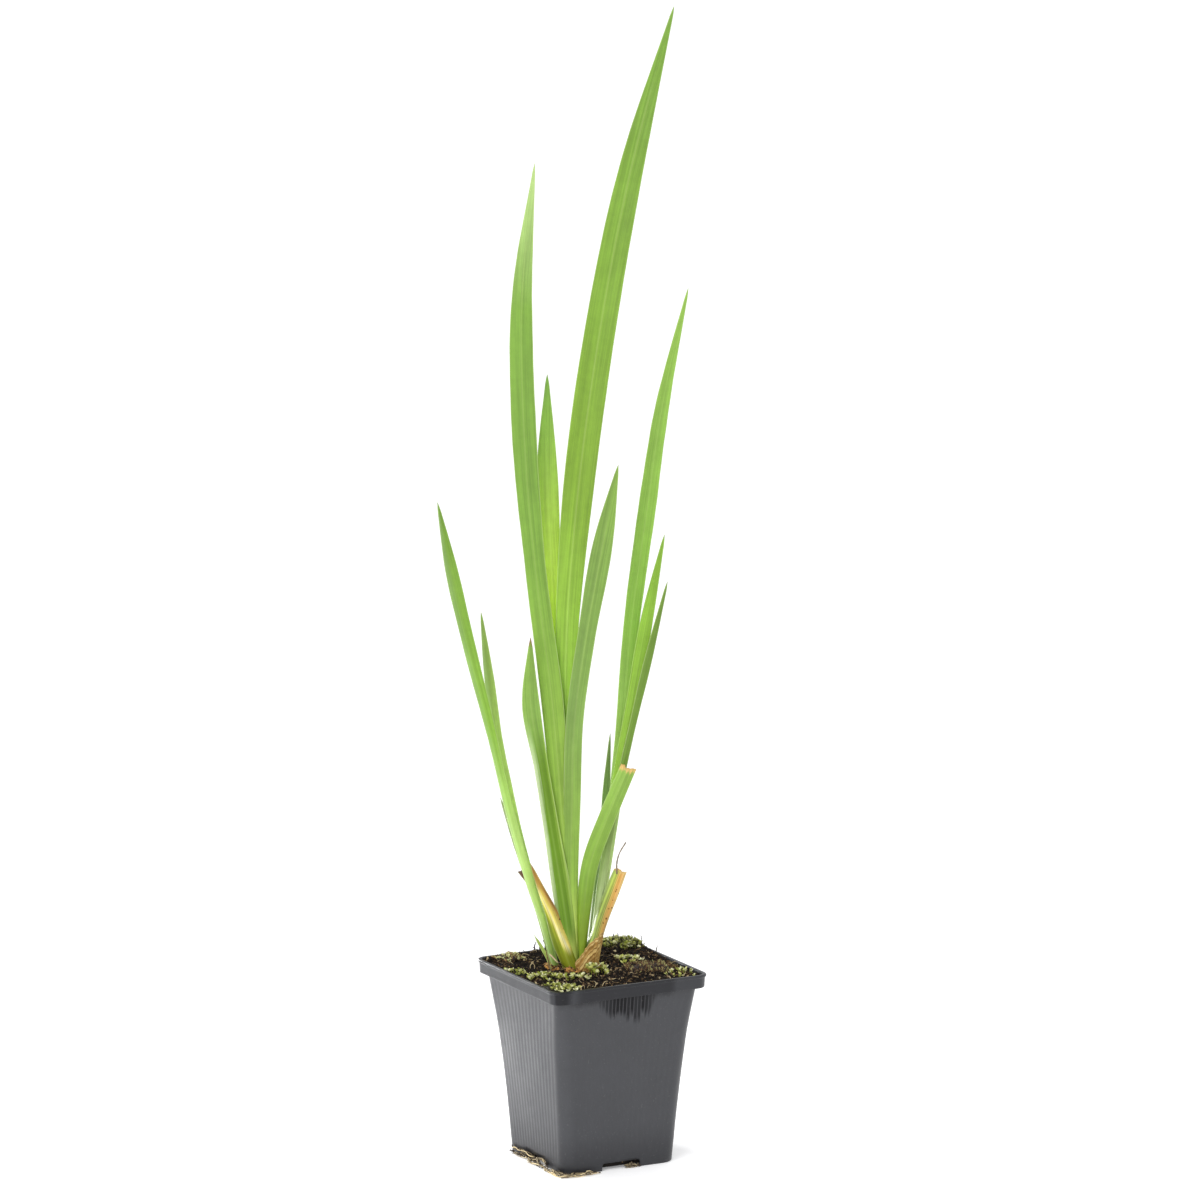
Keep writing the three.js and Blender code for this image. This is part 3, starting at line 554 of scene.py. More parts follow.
# A blade: its section is u from -1 to 1 across, and half as deep as margin + (foot - margin)
# (1 - |u|^p) to each side, with a midrib and fine ribs. It is carried along the smooth path of its
# stations, square to it, and turned with its share of the length.
def bladeShape(blade, seed):
    s = section
    stations = np.array(blade["stations"], float)
    rows = int(max(s["fewestRows"], (stations[-1, 2] - stations[0, 2]) / s["rowLength"]))
    path = smoothPath(stations[:, :3], rows)
    share = np.linspace(0, 1, rows)
    length = np.linalg.norm(np.diff(path, axis=0), axis=1).sum()
    tangent = np.gradient(path, axis=0)
    tangent /= np.linalg.norm(tangent, axis=1, keepdims=True)
    first = path[0] - tangent[0] * s["sink"]
    path, tangent = np.concatenate([[first], path]), np.concatenate([tangent[:1], tangent])
    share = np.concatenate([[0], share])
    reach = np.concatenate([[-s["sink"]], share[1:] * length])
    yaw = math.radians(blade["turn"]) * smoothStep(share)
    across = np.stack([np.cos(yaw), np.sin(yaw), np.zeros_like(yaw)], -1)
    across -= tangent * (across * tangent).sum(1, keepdims=True)
    across /= np.linalg.norm(across, axis=1, keepdims=True)
    behind = np.cross(tangent, across)
    thin = blade.get("cut") or s["half"] * (1 - s["tipThinning"] * share)
    folded = 1 - smoothStep(share * length / blade["sheath"])
    halfDepth = thin + (blade["foot"] - thin) * folded
    halfWidth = np.maximum(along(stations[:, 3], share) / 2, s["tipHalfWidth"])
    if "cut" not in blade:  # an uncut blade comes to a point
        halfWidth = halfWidth * np.minimum(1, s["tipStart"] + (length - reach) / s["tipLength"])
    half = int(np.clip(stations[:, 3].max() * 3, 10, 44))
    angle = np.arange(2 * half) * math.pi / half
    u = np.cos(angle)
    side = np.sign(np.round(np.sin(angle), 9))
    power = 2 + (s["boxy"] - 2) * folded[:, None]
    edge = s["margin"]
    body = edge * np.sqrt(1 - u ** 12) + (halfDepth[:, None] - edge) * (1 - np.abs(u) ** power)
    fade = smoothStep(share * length, *s["detail"]) * smoothStep(1 - share, 0, s["detailEnd"])
    wide = np.clip(halfWidth / s["broad"], 0, 1)
    place = u * halfWidth[:, None]
    midrib = s["midrib"] * (fade * wide)[:, None] * np.exp(-(place / s["midribWidth"]) ** 2)
    ribs = s["ribs"] * wide[:, None] * np.cos(2 * math.pi * place / s["ribSpacing"]) * (1 - u ** 2)
    depth = side * (body + midrib + ribs)
    rng = np.random.default_rng(seed)
    phase = rng.uniform(0, 2 * math.pi, 2)
    swing = (np.sin(2 * math.pi * reach / s["waveLength"] + phase[0])
             + s["secondWave"] * np.sin(2 * math.pi * reach / (s["secondLength"] * s["waveLength"]) + phase[1]))
    depth = depth + s["wave"] * (fade * wide * swing)[:, None] * u * np.abs(u)
    crease = blade.get("fold", 0) * (fade * (1 - folded))[:, None] * np.sqrt(place ** 2 + s["crease"])
    depth = depth - crease  # the halves meet at an angle along the midrib
    points = path[:, None] + across[:, None] * place[..., None] + behind[:, None] * depth[..., None]
    tear = blade.get("torn", 0)
    if tear:  # a torn end: each strand stops at its own height
        strand = np.stack([place[-1], 0 * u, 0 * u], -1)
        broad, fine = s["strandWidths"]
        rag = 0.5 + 0.35 * ripples(strand, broad, seed + 5) + 0.2 * ripples(strand, fine, seed + 6)
        near = smoothStep(reach, length - s["tearLength"] * tear, length)[:, None]
        points = points - tangent[:, None] * (near * np.clip(rag, 0, 1.3) * tear)[..., None]
    columns = 2 * half
    front, back = np.arange(half + 1), (-np.arange(half + 1)) % columns
    strip = np.stack([front[:-1], front[1:], back[1:], back[:-1]], -1)
    last = len(path) - 1
    inner = strip[1:-1]
    ends = np.array([strip[0][[0, 1, 2]], strip[-1][[0, 1, 3]]])
    quads = np.concatenate([ringQuads(len(path), columns), inner[:, ::-1], inner + last * columns])
    triangles = np.concatenate([ends[:, ::-1], ends + last * columns])
    values = {"bladePlace": (u[None], share[:, None], halfWidth[:, None]),
              "bladeGrain": (place, reach[:, None], 7.3 * seed + 2.0 * side[None])}
    values = {key: np.stack(np.broadcast_arrays(*three), -1).reshape(-1, 3) for key, three in values.items()}
    return (fromFan(points.reshape(-1, 3)), [quads, triangles]), values


# A leaf's finish: its look's colours from foot to tip, or in bands across, streaked by its veins, with
# painted light and shade on its two halves, a pale midrib between two dark lines of painted shade in its
# grooves, pale margins, a whitish film that is partly painted highlight, and a stained end.
# The groove colour is painted shade for grooves beside the midrib; the film colour is partly a painted
# highlight.
leafTones = dict(midrib=(206, 226, 140), groove=(74, 104, 34), margin=(214, 232, 160), filmAndSheen=(214, 230, 214),
                 spot=(104, 62, 28))
leafFinish = dict(veins=0.17, rib=0.1, ribHalf=(0.75, 0.15), grooveAt=1.3, grooveHalf=(0.6, 0.1),
                  broad=(2.5, 5),
                  marginWidth=(0.55, 0.05), marginPale=0.34, glow=0.28, footReach=50)


def leafMaterial(name, look):
    material, tree, shader = newMaterial(name)
    f = leafFinish
    u, share, halfWidth = separate(tree, attribute(tree, "bladePlace", "Vector"))
    grain = attribute(tree, "bladeGrain", "Vector")
    fromMiddle, reach, _ = separate(tree, grain)
    where = objectPlace(tree)
    vein = useGroup(tree, streaks, Vector=grain)
    body = colourRamp(tree, share, [(0.12, look["low"]), (0.5, look["high"]),
                                    (look.get("late", 0.51), look["high"]), (1.0, look["tip"])])
    nearFoot = mapRange(tree, reach, look.get("footReach", f["footReach"]), 0)
    body = mixColours(tree, nearFoot, body, colour(*look["foot"]))
    if "bands" in look:
        lean = 0.5 * look.get("lean", 0)
        bandPlace = mathNode(tree, "MULTIPLY_ADD", u, 0.5)  # 0 at the left margin, 1 at the right
        bandPlace = plus(tree, bandPlace, mapRange(tree, share, 0, 1, -lean, lean, "LINEAR"))
        bandPlace = plus(tree, bandPlace, times(tree, minus(tree, vein["Height"], 0.5), 0.35))
        first, last = look.get("bandsFrom", 0.0), look.get("bandsUpTo", 2.0)
        kept = times(tree, mapRange(tree, share, first, first + 0.12), mapRange(tree, share, last, last - 0.2))
        body = mixColours(tree, kept, body, colourRamp(tree, bandPlace, look["bands"]))
    if "spots" in look:
        low, high = look["spots"]
        dots = useGroup(tree, specks, Vector=where, Scale=620.0, Amount=0.26, Size=0.42)["Mask"]
        there = times(tree, mapRange(tree, share, low, low + 0.12), mapRange(tree, share, high + 0.15, high))
        there = times(tree, there, mapRange(tree, u, 0.0, 0.7))
        body = mixColours(tree, times(tree, dots, there), body, colour(*leafTones["spot"]))
    # One half lighter and the other darker is painted light and shade, for the halves' slant to the lamps.
    left, right = look["halfShading"]
    half = mapRange(tree, u, -0.3, 0.25, left, right)
    veins = look.get("veins", f["veins"])
    tone = times(tree, half, mapRange(tree, vein["Mask"], 0, 1, 1 - veins, 1 + 0.5 * veins, "LINEAR"))
    body = addNode(tree, "ShaderNodeHueSaturation", {"Color": body, "Value": tone}).outputs[0]
    body = useGroup(tree, mottle, Colour=body, Vector=where, Scale=45.0, Strength=0.12)["Colour"]
    aside = absolute(tree, fromMiddle)
    broad = mapRange(tree, halfWidth, *f["broad"])
    pale = look.get("rib", f["rib"])
    rib = times(tree, mapRange(tree, aside, *f["ribHalf"]), times(tree, broad, pale))
    body = mixColours(tree, rib, body, colour(*leafTones["midrib"]))
    # The dark lines on either side of the midrib are painted shade in grooves there.
    fromGroove = absolute(tree, minus(tree, aside, f["grooveAt"]))
    groove = times(tree, mapRange(tree, fromGroove, *f["grooveHalf"]), times(tree, broad, 0.5 * pale))
    body = mixColours(tree, groove, body, colour(*leafTones["groove"]))
    fromMargin = times(tree, minus(tree, 1.0, absolute(tree, u)), halfWidth)
    margin = mapRange(tree, fromMargin, *f["marginWidth"], 0, f["marginPale"])
    body = mixColours(tree, margin, body, colour(*leafTones["margin"]))
    # The whitish film on one side is partly the leaf's own waxy film and partly a painted highlight on the side
    # towards the light.
    if "bloomAndSheen" in look:
        filmAndSheen = mapRange(tree, u, 0.1, math.copysign(0.95, look["bloomAndSheen"]), 0, abs(look["bloomAndSheen"]))
        filmAndSheen = times(tree, filmAndSheen, mapRange(tree, vein["Mask"], 0, 1, 0.6, 1.0, "LINEAR"))
        body = mixColours(tree, filmAndSheen, body, colour(*leafTones["filmAndSheen"]))
    if "tipStain" in look:
        ragged = plus(tree, share, times(tree, minus(tree, vein["Height"], 0.5), 0.07))
        body = mixColours(tree, mapRange(tree, ragged, 0.965, 0.99), body, colour(*look["tipStain"]))
    tree.links.new(body, shader.inputs["Base Color"])
    tree.links.new(mapRange(tree, vein["Mask"], 0, 1, 0.38, 0.52, "LINEAR"), shader.inputs["Roughness"])
    tree.links.new(bump(tree, vein["Height"], 0.4, 0.0004), shader.inputs["Normal"])
    shader.inputs["Specular IOR Level"].default_value = 0.3
    shineThrough(tree, shader, look.get("glow", f["glow"]), body)
    return material


# The skin round the foot: a sheet bent round an ellipse, from the crown in front to the right, its
# upper edge ragged and rising to the right sheath, drawn in with height. Angles are in degrees, and
# edge is its height at some of them.
skinCuff = dict(middle=(-4.1, 0.6), reach=(7.6, 7.0), start=-176, end=25, foot=96.5, drawIn=0.15,
                thickness=0.3, lean=0.27, ragged=(0.5, 0.35), pleats=0.16, lift=0.35, perDegree=0.12,
                edge=[(-176, 99.5), (-140, 101.5), (-118, 104.5), (-98, 108), (-78, 112), (-56, 115.5),
                      (-30, 118), (25, 108)])


def cuffShape(seed):
    c = skinCuff
    columns, rows = 90, 26
    angle = np.linspace(c["start"], c["end"], columns)
    edges = np.array(c["edge"], float)
    high = np.interp(angle, edges[:, 0], edges[:, 1])
    arc = angle * c["perDegree"]
    ring = np.stack([arc, 0 * arc, 0 * arc], -1)
    high = high + c["ragged"][0] * ripples(ring, 3.2, seed) + c["ragged"][1] * ripples(ring, 0.9, seed + 1)
    t = np.linspace(0, 1, rows)[:, None]
    z = c["foot"] + (high - c["foot"])[None] * t
    turn = np.radians(angle)[None]
    narrow = 1 - c["drawIn"] * (z - 98) / 10
    pleats = c["pleats"] * ripples(np.stack([arc + 0 * z, z * 0.08, 0 * z + 3], -1), 1.1, seed + 2)
    lift = c["lift"] * smoothStep(t, 0.7, 1)

    def wall(out):
        x = c["middle"][0] + (c["reach"][0] * narrow + pleats + lift + out) * np.cos(turn)
        y = c["middle"][1] + (c["reach"][1] * narrow + pleats + lift + out) * np.sin(turn)
        return np.stack([x + c["lean"] * (z - 100) * smoothStep(np.cos(turn), -0.2, 1), y, z], -1)

    front, back = wall(0), wall(-c["thickness"])
    rings = np.concatenate([front, back[:, ::-1]], 1)
    count = 2 * columns
    loop = np.arange(columns - 1)
    strip = np.stack([loop, loop + 1, count - 2 - loop, count - 1 - loop], -1)
    faces = [np.concatenate([ringQuads(rows, count), strip[:, ::-1], strip + (rows - 1) * count])]
    grain = np.stack(np.broadcast_arrays(high[None] - z, arc[None], 40 + 0 * z), -1)
    grain = np.concatenate([grain, grain[:, ::-1]], 1).reshape(-1, 3)
    return (fromFan(rings.reshape(-1, 3)), faces), {"bladeGrain": grain}


# Dry papery skin: fibres that sweep along its upper edge, tan between pale and brown, darker low down.
cuffTones = [(0.0, (84, 50, 18)), (0.25, (140, 98, 42)), (0.42, (184, 142, 72)), (0.6, (214, 178, 104)),
             (0.8, (236, 208, 136)), (1.0, (248, 230, 172))]


def cuffMaterial():
    material, tree, shader = newMaterial("sheath_skin")
    grain = attribute(tree, "bladeGrain", "Vector")
    fibre = useGroup(tree, streaks, Vector=grain, Fine=2.2, Wide=0.5)
    belowEdge = separate(tree, grain)[0]
    patch = noise(tree, objectPlace(tree), 240.0, 3.0)
    value = plus(tree, times(tree, fibre["Mask"], 0.74), times(tree, patch, 0.5))
    value = minus(tree, value, mapRange(tree, belowEdge, 0, 13, 0.02, 0.2))
    tree.links.new(colourRamp(tree, value, cuffTones), shader.inputs["Base Color"])
    shader.inputs["Roughness"].default_value = 0.6
    shader.inputs["Specular IOR Level"].default_value = 0.3
    tree.links.new(bump(tree, fibre["Height"], 0.8, 0.0006), shader.inputs["Normal"])
    shineThrough(tree, shader, 0.2, (0.6, 0.4, 0.14, 1))
    return material


for number, (name, blade) in enumerate(blades.items()):
    shape, values = bladeShape(blade, number + 1)
    material = leafMaterial(name + "_skin", leafLook[blade["look"]])
    makePiece(name + "_blade", shape, material, [name], values)
cuff, cuffValues = cuffShape(30)
makePiece("sheath_skin", cuff, cuffMaterial(), (), cuffValues)
print("blades made:", len(blades))


# ---- pot ----

pot = dict(rim=90, foot=64.6, height=100, lipHeight=7, lipStep=4.2, lipWall=2, lipIn=0.7, bandIn=0.5,
           beadHeight=1.4, wall=1.1, wallHollow=0.9, floor=1.6, footChamfer=0.6, corner=6.3, innerCorner=5.3,
           wallCorner=7, footCorner=7.5, slotWidth=22, slotHeight=4, slotDepth=7, slotRound=1.5,
           drainRadius=4, drainReach=17, ribs=17, ribHeight=0.04, groove=0.02, grooves=(1.6, 4.2),
           grooveStep=0.25, dent=0.12, dentLength=55, bow=0.8, bowHalf=34, levels=34, flatSteps=126,
           cornerSteps=9)


# The pot's width outside at a height: it tapers, and each wall draws in by the hollow half way up.
def wallSide(z):
    share = z / (pot["height"] - pot["lipHeight"])
    wallTop = pot["rim"] - 2 * pot["lipStep"]
    return pot["foot"] + (wallTop - pot["foot"]) * share - 8 * pot["wallHollow"] * share * (1 - share)


# Round-cornered squares, one a row: place along each side is a share of its flat, then an arc.
def squareRings(sides, corners, heights, ribs=None):
    sides, corners, heights = (np.asarray(v, float)[:, None] for v in (sides, corners, heights))
    flat = np.linspace(-1, 1, pot["flatSteps"] + 1)[:-1]
    arc = np.linspace(0, 1, pot["cornerSteps"] + 1)[:-1]
    reach = sides / 2 - corners
    x = np.concatenate([sides / 2 + 0 * flat, reach + corners * np.cos(arc * math.pi / 2)], 1)
    y = np.concatenate([reach * flat, reach + corners * np.sin(arc * math.pi / 2)], 1)
    if ribs is not None:
        wave = np.cos(math.pi * pot["ribs"] * (flat + 1)) * smoothStep(1 - np.abs(flat), 0, 0.06)
        x[:, :len(flat)] += np.asarray(ribs)[:, None] * pot["ribHeight"] * wave
    quarter = [np.stack([x, y], -1)]
    for _ in range(3):
        last = quarter[-1]
        quarter.append(np.stack([-last[..., 1], last[..., 0]], -1))
    ring = np.concatenate(quarter, 1)
    return np.concatenate([ring, np.broadcast_to(heights[..., None], ring.shape[:2] + (1,))], -1)


# The pot: squares up the outside, over the lip and down the inside, closed by poles in its floor. A
# row is the square's side, its corner, its height and how strongly the fine ribs show on it.
def potShape():
    p = pot
    lip, top = p["height"] - p["lipHeight"], p["height"]
    foot, corner, inner = p["foot"] - 2 * p["footChamfer"], p["corner"], p["innerCorner"]
    levels = np.linspace(p["footChamfer"], lip - 0.8, p["levels"])
    corners = np.interp(levels, [0.6, 12, 70, lip],
                        [p["footCorner"], p["wallCorner"], p["wallCorner"], inner])
    rows = [(2.0, 0.5, 0, 0), (30.0, 4, 0, 0), (foot - 1.2, p["footCorner"], 0, 0),
            (foot, p["footCorner"], 0, 0),
            (wallSide(0.3) - 0.4, p["footCorner"], 0.25, 0)]
    for z, c in zip(levels, corners):
        rows.append((wallSide(z), c, z, float(smoothStep(z, 3, 12) * smoothStep(lip - z, 0, 5))))
    bandLow, bandHigh = p["rim"] - 2 * p["lipIn"], p["rim"] - 2 * p["bandIn"]
    bead = top - p["beadHeight"]
    rows += [(wallSide(lip), inner, lip - 0.15, 0), (wallSide(lip) + 0.5, inner, lip, 0),
             (bandLow - 0.8, corner, lip, 0), (bandLow - 0.15, corner, lip + 0.1, 0),
             (bandLow, corner, lip + 0.45, 0)]
    for start in p["grooves"]:
        for step, cut in enumerate((0, 1, 1, 0)):
            z = start + step * p["grooveStep"]
            side = bandLow + (bandHigh - bandLow) * z / (p["lipHeight"] - p["beadHeight"])
            rows.append((side - 2 * p["groove"] * cut, corner, lip + z, 0))
    rows += [(bandHigh, corner, bead - 0.1, 0), (bandHigh + 0.5, corner, bead + 0.02, 0),
             (p["rim"] - 0.1, corner, bead + 0.12, 0), (p["rim"], corner, bead + 0.4, 0),
             (p["rim"] - 0.1, corner, top - 0.45, 0), (p["rim"] - 0.35, corner, top - 0.12, 0),
             (p["rim"] - 0.8, corner, top, 0)]
    thin = 2 * p["wall"]
    mouth, ledge = bandLow - thin, lip + p["lipWall"]
    rows += [(mouth + 0.6, inner, top, 0), (mouth + 0.15, inner, top - 0.15, 0), (mouth, inner, top - 0.6, 0),
             (mouth, inner, ledge + 0.6, 0), (mouth - 0.8, inner, ledge, 0),
             (wallSide(lip) - thin + 0.4, inner, lip + 0.2, 0)]
    rows += [(wallSide(z) - thin, p["wallCorner"], z, 0) for z in range(92, 0, -12)]
    bottom = wallSide(p["floor"]) - thin
    rows += [(bottom, p["wallCorner"], p["floor"] + 0.8, 0), (bottom - 1.4, p["wallCorner"], p["floor"], 0),
             (30.0, 4, p["floor"], 0), (2.0, 0.5, p["floor"], 0)]
    rings = squareRings(*np.array(rows).T)
    z = rings[..., 2:]
    dents = p["dent"] * ripples(rings, p["dentLength"], 3)[..., None]
    dents = dents * smoothStep(z, 6, 30) * smoothStep(lip - z, 0, 20)
    rings = rings + dents * rings * [1, 1, 0] / (p["rim"] / 2)
    z = rings[..., 2]
    outside = (np.arange(len(rings)) < len(rings) // 2)[:, None]
    rise = p["bow"] * smoothStep(z, 2, 45) * smoothStep(lip - z, 0, 35) * outside
    for axis in (0, 1):  # the walls bow out between the corners
        face, other = rings[..., axis], rings[..., 1 - axis]
        flat = np.clip(1 - (other / p["bowHalf"]) ** 2, 0, 1) * (np.abs(face) > np.abs(other))
        rings[..., axis] = face + np.sign(face) * rise * flat
    return ringsWithPoles(rings, [0, 0, 0], [0, 0, p["floor"]])


# The cutters: a slot in each side of the foot with round upper corners, and a drain by each corner.
def potCutters():
    p = pot
    half, high, bend = p["slotWidth"] / 2, p["slotHeight"], p["slotRound"]
    arc = np.linspace(0, math.pi / 2, 6)
    right = np.stack([half - bend + bend * np.cos(arc), high - bend + bend * np.sin(arc)], -1)
    outline = np.concatenate([[[-half, -2], [half, -2]], right, (right * [-1, 1])[::-1]])
    near, far = -p["foot"] / 2 - 2, -p["foot"] / 2 + p["slotDepth"]
    slot = np.stack([np.stack([outline[:, 0], 0 * outline[:, 0] + y, outline[:, 1]], -1) for y in (far, near)])
    around = np.arange(20) * math.pi / 10
    circle = p["drainReach"] + p["drainRadius"] * np.stack([np.cos(around), np.sin(around)], -1)
    drain = np.stack([np.column_stack([circle, np.full(20, z)]) for z in (-2.0, 4.0)])
    parts = []
    for turn in range(4):
        c, s = round(math.cos(turn * math.pi / 2)), round(math.sin(turn * math.pi / 2))
        turned = np.array([[c, -s, 0], [s, c, 0], [0, 0, 1]])
        for rings in (slot, drain):
            r = rings @ turned.T
            parts.append(ringsWithPoles(r, r[0].mean(0), r[1].mean(0)))
    return joined(parts)


# Wet streaks under the lip in front: each runs down a groove between two ribs to its own length. They
# are longest near the middle, up to full, end sooner to the right than to the left, and start at under.
# Just under the lip they meet a dark band of painted shadow.
streakLook = dict(middle=3, spread=27, rightward=1.6, full=9, spacing=2.08, longest=17, under=93.2,
                  face=-37.0,
                  wander=5.0)
# Colours, how much darker the lip is from left to right, how dark painted shade makes the foot towards the
# floor, and how much less the lip shines.
potLook = dict(body=(50, 51, 55), stainAndShade=(15, 14, 17), scuff=(190, 188, 184), lipFrom=92.7, lipTo=93.6,
               lipDarker=(0.2, 0.16), footShade=0.34, footHigh=26, gloss=(0.5, 0.16), lipGloss=0.8)


def potMaterial():
    material, tree, shader = newMaterial("pot_plastic")
    where = objectPlace(tree)
    size = addNode(tree, "ShaderNodeVectorMath", {0: where, 3: 1000}, operation="SCALE").outputs[0]
    x, y, z = separate(tree, size)  # in millimetres
    look, wet = potLook, streakLook
    body = useGroup(tree, mottle, Colour=colour(*look["body"]), Vector=where, Scale=38.0, Strength=0.16)
    steps = mathNode(tree, "MULTIPLY_ADD", x, 1 / wet["spacing"])
    index = mathNode(tree, "FLOOR", steps)
    fromGroove = absolute(tree, minus(tree, minus(tree, steps, index), 0.5))
    chance = addNode(tree, "ShaderNodeTexWhiteNoise", {"W": index}, noise_dimensions="1D").outputs[0]
    toRight = minus(tree, x, wet["middle"])
    aside = larger(tree, times(tree, toRight, wet["rightward"]), times(tree, toRight, -1.0))
    length = times(tree, mapRange(tree, aside, wet["spread"], wet["full"], 0, wet["longest"]),
                   mapRange(tree, chance, 0, 1, 0.66, 1.04, "LINEAR"))
    stretched = addNode(tree, "ShaderNodeMapping", {"Vector": where, "Scale": (900, 900, 60)}).outputs[0]
    wisps = times(tree, noise(tree, stretched, 1.0, 2.0), wet["wander"])
    below = plus(tree, minus(tree, wet["under"], z), wisps)
    inFront = mathNode(tree, "LESS_THAN", y, wet["face"])
    runsAndShadow = mapRange(tree, minus(tree, length, below), -3.0, 2.5)
    runsAndShadow = times(tree, runsAndShadow, mapRange(tree, fromGroove, 0.52, 0.3))
    runsAndShadow = times(tree, runsAndShadow, mapRange(tree, aside, 26, 10, 0.5, 1))
    runsAndShadow = times(tree, runsAndShadow, mathNode(tree, "LESS_THAN", z, wet["under"]))
    runsAndShadow = times(tree, times(tree, runsAndShadow, inFront), mapRange(tree, chance, 0, 1, 1.05, 0.8, "LINEAR"))
    # A dark band just under the lip in front, where the streaks begin, is painted shadow of the lip.
    under = times(tree, mapRange(tree, below, 7, 2, 0, 0.55), mapRange(tree, aside, 40, 30))
    runsAndShadow = larger(tree, runsAndShadow, times(tree, under, inFront))
    # A blotch at the near corner of the lip.
    nearCorner = times(tree, plus(tree, x, y), -1.0)
    rightOfCorner = minus(tree, x, y)
    blotch = plus(tree, z, times(tree, noise(tree, where, 260.0, 3.0), 10.0))
    corner = times(tree, mapRange(tree, nearCorner, 76, 83), mapRange(tree, blotch, 92, 97))
    corner = times(tree, corner, mapRange(tree, rightOfCorner, -3, 0))
    # The lip made darker, a little more on the left face, and painted shade darkening the foot towards the
    # floor.
    lipDarkAndFootShade = mapRange(tree, rightOfCorner, -20, 20, *look["lipDarker"])
    lipDarkAndFootShade = times(tree, lipDarkAndFootShade, mapRange(tree, z, look["lipFrom"], look["lipTo"]))
    lipDarkAndFootShade = times(tree, lipDarkAndFootShade, mapRange(tree, noise(tree, where, 90.0, 4.0), 0.25, 0.6, 0.5, 1.1))
    lipDarkAndFootShade = larger(tree, lipDarkAndFootShade, mapRange(tree, z, look["footHigh"], 2, 0, look["footShade"]))
    # The stain colour covers the real streaks and corner blotch, the darker lip, and painted shade under the
    # lip and at the foot.
    stainAndShade = larger(tree, runsAndShadow, larger(tree, times(tree, corner, 0.75), lipDarkAndFootShade))
    dark = mixColours(tree, stainAndShade, body["Colour"], colour(*look["stainAndShade"]))
    scuffs = useGroup(tree, specks, Vector=where, Scale=240.0, Amount=0.006, Size=0.12)["Mask"]
    dust = times(tree, mapRange(tree, noise(tree, where, 900.0, 4.0), 0.6, 0.78), 0.05)
    worn = plus(tree, times(tree, scuffs, 0.45), dust, clamp=True)
    tree.links.new(mixColours(tree, worn, dark, colour(*look["scuff"])), shader.inputs["Base Color"])
    rough = mapRange(tree, body["Mask"], 0, 1, 0.36, 0.46, "LINEAR")
    tree.links.new(minus(tree, rough, times(tree, stainAndShade, 0.08)), shader.inputs["Roughness"])
    gloss = times(tree, mapRange(tree, stainAndShade, 0, 1, *look["gloss"], "LINEAR"),
                  mapRange(tree, z, look["lipFrom"], wet["under"], 1, look["lipGloss"]))
    tree.links.new(gloss, shader.inputs["Specular IOR Level"])
    tree.links.new(bump(tree, noise(tree, where, 2600.0, 3.0, 0.6), 0.12, 0.0003), shader.inputs["Normal"])
    return material


potPiece = makePiece("pot_shell", potShape(), potMaterial(), ["pot"])
cutter = makePiece("pot_cutters", potCutters(), potPiece.data.materials[0])
cut = potPiece.modifiers.new("slots", "BOOLEAN")
cut.operation, cut.solver, cut.object = "DIFFERENCE", "EXACT", cutter
bpy.context.view_layer.update()
cutMesh = bpy.data.meshes.new_from_object(potPiece.evaluated_get(bpy.context.evaluated_depsgraph_get()))
potPiece.modifiers.clear()
potPiece.data = cutMesh
bpy.data.objects.remove(cutter)
print("pot made,", len(cutMesh.polygons), "faces")


# ---- soil ----

# level, rise, dip and ripple shape the top, lumps roughen it. crumbs, bits and curls are how many lie
# on it; gap is how far the soil and what lies on it keep from the wall.
soil = dict(level=98.5, rise=2, riseFrom=8, riseTo=40, dip=1.1, dipReach=26, ripple=0.35, lumps=0.55,
            lumpSize=5, fineLump=1.9, gap=0.3, bottom=1.95, corner=6, crumbs=7600, crumbSize=(0.22, 0.95),
            bits=520, bitLength=(1.5, 5), curls=46, curlReach=(0.8, 2.4), curlHeight=(0.5, 1.6),
            curlRadius=(0.1, 0.2))
peatTones = [(0.0, (20, 15, 11)), (0.5, (36, 27, 20)), (0.7, (66, 49, 33)), (0.86, (124, 100, 70)),
             (1.0, (208, 190, 150))]
# Curls, scraps and twigs that show singly: points in the fan's frame, radius and tint.
strands = [
    ([[-31.4, -2, 98], [-31.4, -2.4, 100.8], [-30.2, -2.8, 101.9], [-29.2, -3, 100.4], [-29.8, -3.2, 98.2]],
     0.22, 0.97),
    ([[-21.7, -5, 99.5], [-22, -5.2, 103], [-22.9, -5, 106.5], [-23.3, -4.8, 109.6]], 0.4, 0.84),
    ([[-21.6, -5.6, 107.4], [-19.5, -6, 105.4], [-17.6, -6.2, 103.4], [-16, -6, 103]], 0.5, 0.98),
    ([[-17, -6.3, 103.4], [-14.8, -7, 101.9], [-12, -7.6, 99.8]], 0.25, 0.6),
    ([[-20.6, -6.5, 98.4], [-21.4, -7.4, 101.4], [-20.2, -7.6, 102.6]], 0.4, 0.88),
    ([[-29.3, 31.6, 99], [-29.6, 31.8, 102.5], [-28.8, 31.8, 105]], 0.4, 0.2),
    ([[-24.4, 33, 99], [-24, 33.2, 103], [-25.2, 33.4, 105.6]], 0.5, 0.25),
    ([[-26.6, 32.6, 99], [-26.9, 32.6, 102.6]], 0.6, 0.3),
    ([[-5.5, -48, 98.4], [-5.2, -48, 100.6], [-3.8, -47.6, 101], [-3.6, -47.4, 99.4]], 0.2, 0.95),
    ([[1.6, -41, 98.6], [2.4, -41.4, 100.8], [1.2, -41.8, 102]], 0.22, 1.0),
    ([[5.2, -39, 98.6], [6.6, -39.4, 101], [8.4, -39.2, 101.4]], 0.2, 0.96),
]


